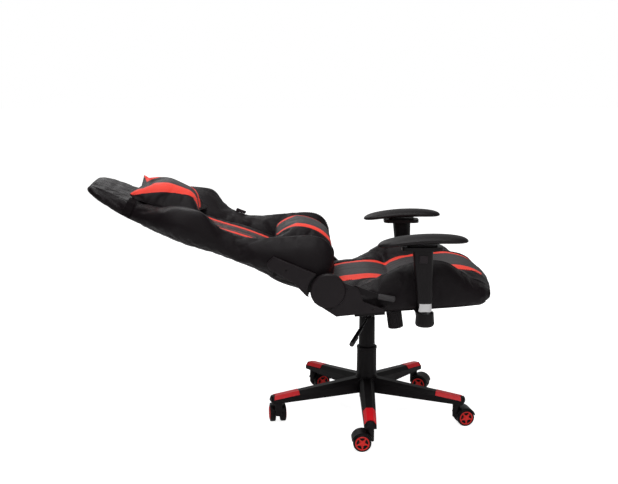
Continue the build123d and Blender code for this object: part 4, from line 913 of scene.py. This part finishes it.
# Across, rearwards from the lift's axis in the seat's plane, and above it, as points in the row.
def seatPoint(x, along, height):
    rake = radians(seat["rake"])
    x, along, height = np.broadcast_arrays(x, along, height)
    y = along * cos(rake) + height * sin(rake)
    z = seat["height"] - along * sin(rake) + height * cos(rake)
    return np.stack([x, y, z], axis=-1)


# At each row of the seat, a closed cubic from its middle over the valley and crest to the flat underside. The
# nose bows forward with the square of the way across, and a bell of the way along pulls in the cross crease.
def makeSeat():
    stations = seatStations[::-1]
    along = np.arange(stations[0, 0], stations[-1, 0] + 1e-6, seat["step"])
    width, middle, crest, lower = smoothTable(along, stations[:, 0], stations[:, 1:]).T
    crestX, valley = 0.208 * width / 0.26, 0.146 * width / 0.26
    shrink = np.minimum(1, width / 0.25)
    tall = crest - lower
    half = [
        (0 * width, middle),
        (seat["stripe"][0] * shrink, middle + 0.001),
        (seat["stripe"][1] * shrink, middle + 0.0015),
        (valley, middle + 0.002),
        (0.5 * (valley + crestX) - 0.006, middle + 0.45 * (crest - middle)),
        (crestX - 0.015, middle + 0.9 * (crest - middle)),
        (crestX + 0.006, crest - 0.001),
        (crestX + 0.028, crest - 0.014 * np.minimum(1, tall / 0.1)),
        (width - 0.006, lower + 0.70 * tall),
        (width, lower + 0.42 * tall),
        (width - 0.003, lower + 0.08 * tall),
        (width - 0.014, lower),
        (0.55 * width, lower),
        (0 * width, lower),
    ]
    control = mirroredControl(half)
    steps = [13, 2, 4, 5, 5, 4, 3, 7, 4, 5, 2, 13, 14]
    section = closedSections(control, steps + steps[::-1])
    section[..., 1] = np.maximum(section[..., 1], lower[:, None])
    section, along = roundedEnds(section, along, seat["lowerEnd"], seat["upperEnd"])
    nose = seat["nose"]
    share = np.clip((nose["start"] - along) / nose["length"], 0, 1)[:, None] ** 2
    slide = share * (nose["bow"] * (section[..., 0] / 0.24) ** 2 - nose["reach"])
    points = seatPoint(section[..., 0], along[:, None] + slide, section[..., 1])
    column = totals(steps)
    total = section.shape[1]
    seams = {
        "stripeInner": column[1], "stripeOuter": column[2], "valley": column[3],
        "crest": column[6], "hem": column[11],
    }
    both = {name: (place, total - place) for name, place in seams.items()}

    shown = along[:-1] >= seat["blackFrom"]
    slots = panelSlots(shown, shown, total, column[1], column[2])
    held = np.zeros(section.shape[:2], bool)
    held[: closing["rows"] + 1] = held[-closing["rows"] - 1 :] = True
    held[:, column[11] : total - column[11] + 1] = True
    for name in ("valley", "crest", "hem"):
        held[:, list(both[name])] = True
    held[np.abs(along - seat["crease"]) < 0.5 * seat["step"]] = True
    piece, points = sewn("seat_cover", points, slots, held, *seat["puff"])

    x = np.abs(section[..., 0])
    spots = np.arange(total)
    onTop = (spots <= column[5]) | (spots >= total - column[5])
    creaseEnd, creaseFade = seat["creaseEnd"]
    crease = bell(along[:, None], seat["crease"], seat["creaseWidth"]) * onTop
    crease = seat["creasePull"] * crease * np.clip((creaseEnd - x) / creaseFade, 0, 1)
    points = points - gridNormals(points) * crease[..., None]
    gapCrest = np.minimum(*[distanceFrom(points, place) for place in both["crest"]])
    points = points + gridNormals(points) * foldLift(section[..., 0], along, gapCrest, seat["folds"])[..., None]
    both["fine"] = both["stripeInner"] + both["stripeOuter"]
    points, normals, rows = sewSeams(piece, points, along, both, seat)
    welts = seamCords(points, normals, both["hem"], rows, seat["welt"])
    joined("seat_piping", welts, "black leathercloth", "seat")
    finishSoft(piece, "seat", "seat_cushion")


makeSeat()
print("seat covered")

lumbar = {
    "ends": (0.012, 0.207),  # along the back
    "halfWidth": 0.152,
    "stripe": (0.071, 0.100),
    "pull": 0.05, "seam": 0.42, "square": 4.0,
}
# in mm: distance along, front and rear heights over the back
lumbarStations = np.array([
    (12, 66, 56),
    (20, 93, 34),
    (36, 111, 26),
    (60, 122.5, 22),
    (90, 128, 21),
    (120, 126, 21),
    (150, 117.5, 21),
    (176, 104, 23),
    (195, 83, 28),
    (207, 54, 40),
]) / 1000
headrest = {
    "ends": (0.437, 0.689),
    "halfWidth": 0.131,
    "stripeAtFoot": (0.012, 0.044),  # inner and outer edge at the lower end
    "stripeAtCorner": (0.072, 0.1305),
    "bowAtFoot": 0.033,  # how far the middle of each end lies inside its corners
    "bowAtTop": 0.036,
    "sweep": 0.8,  # power of the way up by which the stripes go out
    "pull": 0.13, "seam": 0.09, "square": 2.5,
    "earLift": (-0.010, 0.024),  # of the near and the far upper corner
}
# share of the way up, front and rear heights over the back
headStations = np.array([
    (0.000, 0.0090, 0.0010),
    (0.035, 0.0230, -0.0080),
    (0.100, 0.0380, -0.0165),
    (0.220, 0.0500, -0.0220),
    (0.380, 0.0525, -0.0245),
    (0.520, 0.0525, -0.0255),
    (0.660, 0.0510, -0.0265),
    (0.800, 0.0425, -0.0285),
    (0.900, 0.0330, -0.0280),
    (0.965, 0.0160, -0.0220),
    (1.000, 0.0000, -0.0120),
])
headStations[:, 0] = headrest["ends"][0] + headStations[:, 0] * (headrest["ends"][1] - headrest["ends"][0])


pillow = {
    "rows": 44, "bow": 0.8, "swell": 0.6,  # powers of the sides' pull and of the sheets' rise
    "puff": (0.007, 0.03),
    "groove": (0.0009, 0.0024),  # depth and width
    "welt": 0.0016,
    "rim": (0.012, 0.016),  # distance of the folds from the seam, and their spread
    "sideFolds": {"waves": (0.015, 0.035), "height": 0.0030},
    "endFolds": {"waves": (0.018, 0.040), "height": 0.0026},
}


# Front and rear sheets over an outline whose sides pull in between pointed corners. across holds, for each
# row, the places of the columns from -1 to 1. Each sheet leaves the seam as a power of one minus a power of
# the place across.
def pillowSections(stations, along, across, given):
    front, rear = smoothTable(along, stations[:, 0], stations[:, 1:]).T
    share = 2 * (along - along[0]) / (along[-1] - along[0]) - 1
    reach = 1 - given["pull"] * (1 - share**2) ** pillow["bow"]
    seam = front * given["seam"] + rear * (1 - given["seam"])
    swell = np.clip(1 - np.abs(across) ** given["square"], 0, 1) ** pillow["swell"]
    upper = seam[:, None] + (front - seam)[:, None] * swell
    lower = seam[:, None] + (rear - seam)[:, None] * swell
    x = across * reach[:, None]
    loopX = np.concatenate([x, x[:, -2:0:-1]], axis=1)
    loopHeight = np.concatenate([upper, lower[:, -2:0:-1]], axis=1)
    return np.stack([loopX, loopHeight], axis=-1)


# Columns between the given breaks of each row, steps[i] of them in each span, and the last break.
def warped(breaks, steps):
    spans = [
        breaks[:, i : i + 1] + (breaks[:, i + 1 : i + 2] - breaks[:, i : i + 1]) * np.arange(count) / count
        for i, count in enumerate(steps)
    ]
    return np.concatenate(spans + [breaks[:, -1:]], axis=1)


# Two sheets over a grid of places along and across, laid on the back, bent, and blown out. Trains of folds run
# beside the rim, each within a bell of the distance from it.
def makePillow(name, node, stations, given, breaks, steps, looks, bend, seed):
    along = np.linspace(*given["ends"], pillow["rows"])
    across = warped(breaks(along), steps)
    section = pillowSections(stations, along, across, given)
    section[..., 0] *= given["halfWidth"]
    slide, lift = bend(section[..., 0], along[:, None])
    points = backPoint(section[..., 0], along[:, None] + slide, section[..., 1] + lift)
    total = section.shape[1]
    edge = (0, across.shape[1] - 1)
    starts = totals(steps)
    slots = np.zeros((len(along) - 1, total), int)
    slots[:, : starts[-1]] = np.repeat(looks, steps)
    held = np.zeros(section.shape[:2], bool)
    held[[0, -1]] = True
    held[:, list(edge)] = True
    piece, points = sewn(name, points, slots, held, *pillow["puff"])
    normals = gridNormals(points)
    gapEdge = np.minimum(*[distanceFrom(points, column) for column in edge])
    endGap = np.minimum(along - along[0], along[-1] - along)[:, None]
    side, end = pillow["sideFolds"], pillow["endFolds"]
    lift = ripples(along[:, None], seed, side["waves"], side["height"]) * bell(gapEdge, *pillow["rim"])
    lift += ripples(section[..., 0], seed + 1, end["waves"], end["height"]) * bell(endGap, *pillow["rim"])
    points = points + normals * (lift * (endGap > 0.001))[..., None]
    points = groove(points, starts[1:-1], *pillow["groove"])
    writePoints(piece, points)
    normals = gridNormals(points)
    rows = np.arange(2, len(along) - 2)
    welts = []
    for column in edge:
        away = normals[rows, (column + 1) % total] + normals[rows, (column - 1) % total]
        welts.append(cordAlong(points[rows, column], away, pillow["welt"]))
    joined(name + "_piping", welts, "black leathercloth", "back")
    finishSoft(piece, "back", node)


# The stripes run straight, so each row has the same breaks.
def lumbarBreaks(along):
    inner, outer = (edge / lumbar["halfWidth"] for edge in lumbar["stripe"])
    row = np.array([-1, -outer, -inner, 0, inner, outer, 1.0])
    return np.repeat(row[None], len(along), axis=0)


# The stripes sweep from the lower edge out to the upper corners, as a power of the way up.
def headBreaks(along):
    way = ((along - along[0]) / (along[-1] - along[0]))[:, None] ** headrest["sweep"]
    foot, corner = np.array(headrest["stripeAtFoot"]), np.array(headrest["stripeAtCorner"])
    inner, outer = ((foot + (corner - foot) * way) / headrest["halfWidth"]).T
    zero, one = np.zeros_like(inner), np.ones_like(inner)
    return np.stack([-one, -outer, -inner, zero, inner, outer, one], axis=-1)


# Neither slid along the back nor lifted.
def lumbarBend(x, along):
    return 0 * x, 0 * x


# The ends bow in between the corners by one less the square across, and the far upper corner stands up.
def headBend(x, along):
    way = (along - headrest["ends"][0]) / (headrest["ends"][1] - headrest["ends"][0])
    across = x / headrest["halfWidth"]
    bow = (1 - across**2) * (headrest["bowAtFoot"] * (1 - way) ** 2 - headrest["bowAtTop"] * way**2)
    near, far = headrest["earLift"]
    return bow, way**3 * ((near + far) / 2 + (far - near) / 2 * across) * across**2


makePillow(
    "lumbar_cover", "lumbar_pillow", lumbarStations, lumbar, lumbarBreaks,
    [7, 3, 8, 8, 3, 7], [0, 2, 1, 1, 2, 0], lumbarBend, 21,
)
makePillow(
    "headrest_cover", "head_pillow", headStations, headrest, headBreaks,
    [6, 6, 6, 6, 6, 6], [0, 2, 1, 1, 2, 0], headBend, 33,
)
print("pillows covered")


# A copy of a CAD piece with its edges rounded, which then stands for it.
def softened(node, material, width, segments=2):
    piece = nodes[node].copy()
    piece.data = nodes[node].data.copy()
    piece.name = node + "_rounded"
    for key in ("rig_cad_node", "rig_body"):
        if key in piece:
            del piece[key]
    piece.parent = None
    bpy.context.scene.collection.objects.link(piece)
    shape = bmesh.new()
    shape.from_mesh(piece.data)
    bmesh.ops.remove_doubles(shape, verts=shape.verts, dist=0.00001)
    bmesh.ops.dissolve_limit(shape, angle_limit=radians(1), verts=shape.verts, edges=shape.edges)
    shape.to_mesh(piece.data)
    shape.free()
    piece.data.materials.clear()
    piece.data.materials.append(finish[material])
    if piece.data.has_custom_normals:
        with bpy.context.temp_override(object=piece, active_object=piece, selected_objects=[piece]):
            bpy.ops.mesh.customdata_custom_splitnormals_clear()
    piece.data.polygons.foreach_set("use_smooth", np.ones(len(piece.data.polygons), bool))
    bevel = piece.modifiers.new("edges", "BEVEL")
    bevel.width = width
    bevel.segments = segments
    bevel.limit_method = "ANGLE"
    bevel.angle_limit = radians(35)
    bevel.harden_normals = True
    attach(piece, bodyOf[node])
    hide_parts(node)


bodies = frame["record"]["behaviour"]["bodies"]
bodyOf = {node: body for body, members in bodies.items() for node in members}
finished = {
    "base nylon": "base_star lift_covers",
    "red inlay": "leg_caps",
    "black powder coat": "gas_cylinder mechanism_housing seat_plate gas_lever seat_frame arm_brackets"
    " lower_brackets upper_brackets recline_lever back_frame",
    "zinc steel": "piston_rod release_pin tilt_pin seat_bolts recline_shaft",
    "spring steel": "tension_spring",
    "chrome": "pressure_tube arm_posts",
    "cover plastic": "tension_knob lower_cover_left lower_cover_right upper_cover_left upper_cover_right",
    "arm plastic": "arm_cups arm_sleeve_left arm_sleeve_right",
    "button plastic": "arm_button_left arm_button_right",
    "arm padding": "arm_pad_left arm_pad_right",
    "black webbing": "seat_webbing pillow_straps",
}
cadFinish = {node: material for material, names in finished.items() for node in names.split()}
for node in nodes:
    if node.startswith("caster_"):
        cadFinish[node] = "zinc steel" if node.endswith("axle") else "tyre nylon"
for node, material in cadFinish.items():
    nodes[node].data.materials.clear()
    nodes[node].data.materials.append(finish[material])

armPad = {
    "halfWidth": 0.0425,
    "thickness": (0.0165, 0.0125),  # above and below the middle line, halfway along
    "endShare": 0.74,  # of that at the ends
    "peak": -0.160,
    "drops": (0.0340, 0.0155, 0.0200),  # of the middle line below the top, at the rear, the peak and the front
    "rows": 56,
    "columns": 40,
}


# A pad's section is an oval flatter below. Towards the ends its height and width close as powers of the way.
def makeArmPads():
    across = np.arange(armPad["columns"]) * 2 * pi / armPad["columns"]
    t = np.sin(np.linspace(-pi / 2, pi / 2, armPad["rows"]))
    end = np.sqrt(np.clip(1 - np.abs(t) ** 9, 0.0004, 1))
    plan = np.clip(1 - np.abs(t) ** 4.6, 0.0004, 1) ** 0.46
    above, below = armPad["thickness"]
    for side in ("left", "right"):
        low, high = (np.array(corner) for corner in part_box("arm_pad_" + side))
        y = (low[1] + high[1]) / 2 + (high[1] - low[1]) / 2 * t
        middle = np.polyfit([high[1], armPad["peak"], low[1]], high[2] - np.array(armPad["drops"]), 2)
        size = (armPad["endShare"] + (1 - armPad["endShare"]) * (1 - t**2)) * end
        x = (low[0] + high[0]) / 2 + armPad["halfWidth"] * plan[:, None] * np.cos(across)
        rise = np.sin(across)
        z = np.polyval(middle, y)[:, None] + size[:, None] * np.where(rise > 0, above, below) * rise
        points = np.stack(np.broadcast_arrays(x, y[:, None], z), axis=-1)
        pad = addTube("arm_pad_%s_soft" % side, points, "arm padding", "arm_" + side)
        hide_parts("arm_pad_" + side)


post = {
    "halfLength": 0.0205, "halfWidth": 0.0140, "square": 0.85,
    "height": (0.4125, 0.6000), "place": (0.300, -0.1555),
    "round": (0.0005, 0.002),  # heights of the rings beside each end
    "roundShares": (0.92, 0.98, 1),  # of the size, from an end inwards
    "columns": 64,
}


# Chrome posts: a squared oval carried straight up, with a small round at each end.
def makePosts():
    turn = np.arange(post["columns"]) * 2 * pi / post["columns"]
    low, high = post["height"]
    near, far = post["round"]
    z = np.array([low, low + near, low + far, (low + high) / 2, high - far, high - near, high])
    share = np.array([*post["roundShares"], 1, *post["roundShares"][::-1]])[:, None]
    oval = [np.sign(wave) * np.abs(wave) ** post["square"] for wave in (np.cos(turn), np.sin(turn))]
    parts = []
    for side in (-1, 1):
        x = side * post["place"][0] + post["halfWidth"] * share * oval[0]
        y = post["place"][1] + post["halfLength"] * share * oval[1]
        points = np.stack(np.broadcast_arrays(x, y, z[:, None]), axis=-1)
        parts.append((points.reshape(-1, 3), gridQuads(*points.shape[:2])))
    piece = joined("arm_posts_oval", parts, "chrome", "seat")
    closeEnds(piece)
    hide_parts("arm_posts")


grips = {
    "recline_grip": {
        "from": (-0.2735, -0.0100, 0.4872), "to": (-0.2735, -0.0655, 0.4776), "radius": 0.0092,
        "round": 0.004, "ribs": 0, "depth": 0.0, "body": "recline_lever",
    },
    "gas_lever_grip": {
        "from": (-0.1700, 0.0470, 0.3260), "to": (-0.2225, 0.0670, 0.3144), "radius": 0.0080,
        "round": 0.004, "ribs": 7, "depth": 0.0007, "body": "gas_lever",
    },
}


# A grip is a round sleeve: its radius falls off at both ends and dips at each rib.
def makeGrips():
    turn = np.arange(32) * 2 * pi / 32
    way = np.linspace(0, 1, 60)
    for name, grip in grips.items():
        start, stop = np.array(grip["from"]), np.array(grip["to"])
        length = np.linalg.norm(stop - start)
        axis = (stop - start) / length
        side = unit(np.cross(axis, (0, 0, 1)))
        up = np.cross(side, axis)
        nearEnd = np.minimum(way, 1 - way) * length
        fall = np.clip(1 - nearEnd / grip["round"], 0, 1)
        radius = grip["radius"] * np.sqrt(np.clip(1 - fall**2, 0.05, 1))
        radius = radius - grip["depth"] * (0.5 + 0.5 * np.cos(2 * pi * grip["ribs"] * way))
        ring = side * np.cos(turn)[:, None] + up * np.sin(turn)[:, None]
        points = start + axis * (way * length)[:, None, None] + ring * radius[:, None, None]
        addTube(name, points, "grip rubber", grip["body"])


tag = {
    "along": (0.316, 0.352), "height": 0.012, "half": 0.0009, "x": 0.2060,
    "rows": 9, "sunk": 0.001, "lean": 0.0035,
    "up": (0, 0.5, 0.92, 1, 0.92, 0.5, 0),  # outline across the fold, as shares of height and half thickness
    "out": (-1, -1, -0.7, 0, 0.7, 1, 1),
}


# A plain folded tag sewn in at the far crest: a flat loop carried along the seam.
def makeTag():
    along = np.linspace(*tag["along"], tag["rows"])
    foot = smoothTable(along, backStations[:, 0], backStations[:, 3:4])[:, 0] - tag["sunk"]
    up, out = np.array(tag["up"]), np.array(tag["out"]) * tag["half"]
    lean = tag["lean"] * np.sin(np.linspace(0, 2.4, tag["rows"]))[:, None] * up
    points = backPoint(tag["x"] + out + lean, along[:, None], foot[:, None] + up * tag["height"])
    addTube("crest_tag", points, "tag cloth", "back")


makeArmPads()
makePosts()
makeGrips()
makeTag()
print("arm pads, posts, grips and tag made")

rounding = {
    "lower_cover_left": 0.0018, "lower_cover_right": 0.0018,
    "upper_cover_left": 0.0018, "upper_cover_right": 0.0018,
    "base_star": 0.0012, "arm_cups": 0.0010, "arm_sleeve_left": 0.0012, "arm_sleeve_right": 0.0012,
    "recline_lever": 0.0006, "lift_covers": 0.0006, "leg_caps": 0.0003,
}
for node, width in rounding.items():
    softened(node, cadFinish[node], width)
print("hard pieces finished")

hub = {
    "radius": 0.0228,
    "stand": 0.0006,  # proud of the wheel's face
    "window": (0.0088, 0.0184),  # inner and outer reach of a window
    "spoke": (0.0036, 0.0017),  # half width at those two
    "deep": 0.0030,
    "blend": 0.0007,  # over which a window's sides run into each other
    "edge": 0.00022,
    "rim": (0.0212, 0.0014),  # place and spread
    "star": 0.0016,
    "relief": 0.0007,
    "face": 0.0270,  # of the wheel, from the middle of its axle
    "rings": 46,
    "turns": 200,
    "spokes": 5,
}


# Caster hubs: a dish that drops in the windows between its spokes, five star arms and a rim.
def makeHubs():
    radius = np.linspace(0.0002, hub["radius"], hub["rings"])[:, None]
    turn = (np.arange(hub["turns"]) * 2 * pi / hub["turns"])[None, :]
    pitch = 2 * pi / hub["spokes"]
    local = (turn + pitch / 2) % pitch - pitch / 2
    inner, outer = hub["window"]
    spokeHalf = np.interp(radius, hub["window"], hub["spoke"])
    beside = radius * np.sin(pitch / 2 - np.abs(local)) - spokeHalf
    within = np.minimum(radius - inner, outer - radius)
    blend, relief = hub["blend"], hub["relief"]
    depth = -np.log(np.exp(-beside / blend) + np.exp(-within / blend)) * blend
    opening = 1 / (1 + np.exp(-np.clip(depth / hub["edge"], -30, 30)))
    rim = bell(radius, *hub["rim"]) * relief
    star = bell(beside + spokeHalf, 0, hub["star"]) * relief * (radius > 0.004) * (radius < outer)
    height = rim + star - hub["deep"] * opening
    height[-1] = -hub["deep"]
    slots = (opening > 0.5).astype(int)[:-1]
    for name, joint in joints.items():
        if "_roll_" not in name:
            continue
        wheel = joint["child"]
        low, high = (np.array(corner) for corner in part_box(wheel))
        centre = np.array(joint["pos_m"])
        axis = np.array(joint["axis"])
        outwards = axis * np.sign(((low + high) / 2 - centre) @ axis)
        across = np.cross(outwards, (0, 0, 1))
        up = np.cross(across, outwards)
        dish = centre + outwards * (hub["face"] + hub["stand"] + height[..., None])
        dish = dish + across * (radius * np.sin(turn))[..., None] + up * (radius * np.cos(turn))[..., None]
        quads = gridQuads(len(radius), hub["turns"])[:, ::-1]
        piece = addMesh(wheel + "_hub", dish, quads, ["red hub", "tyre nylon"], slots)
        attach(piece, wheel)


makeHubs()
print("caster hubs made")
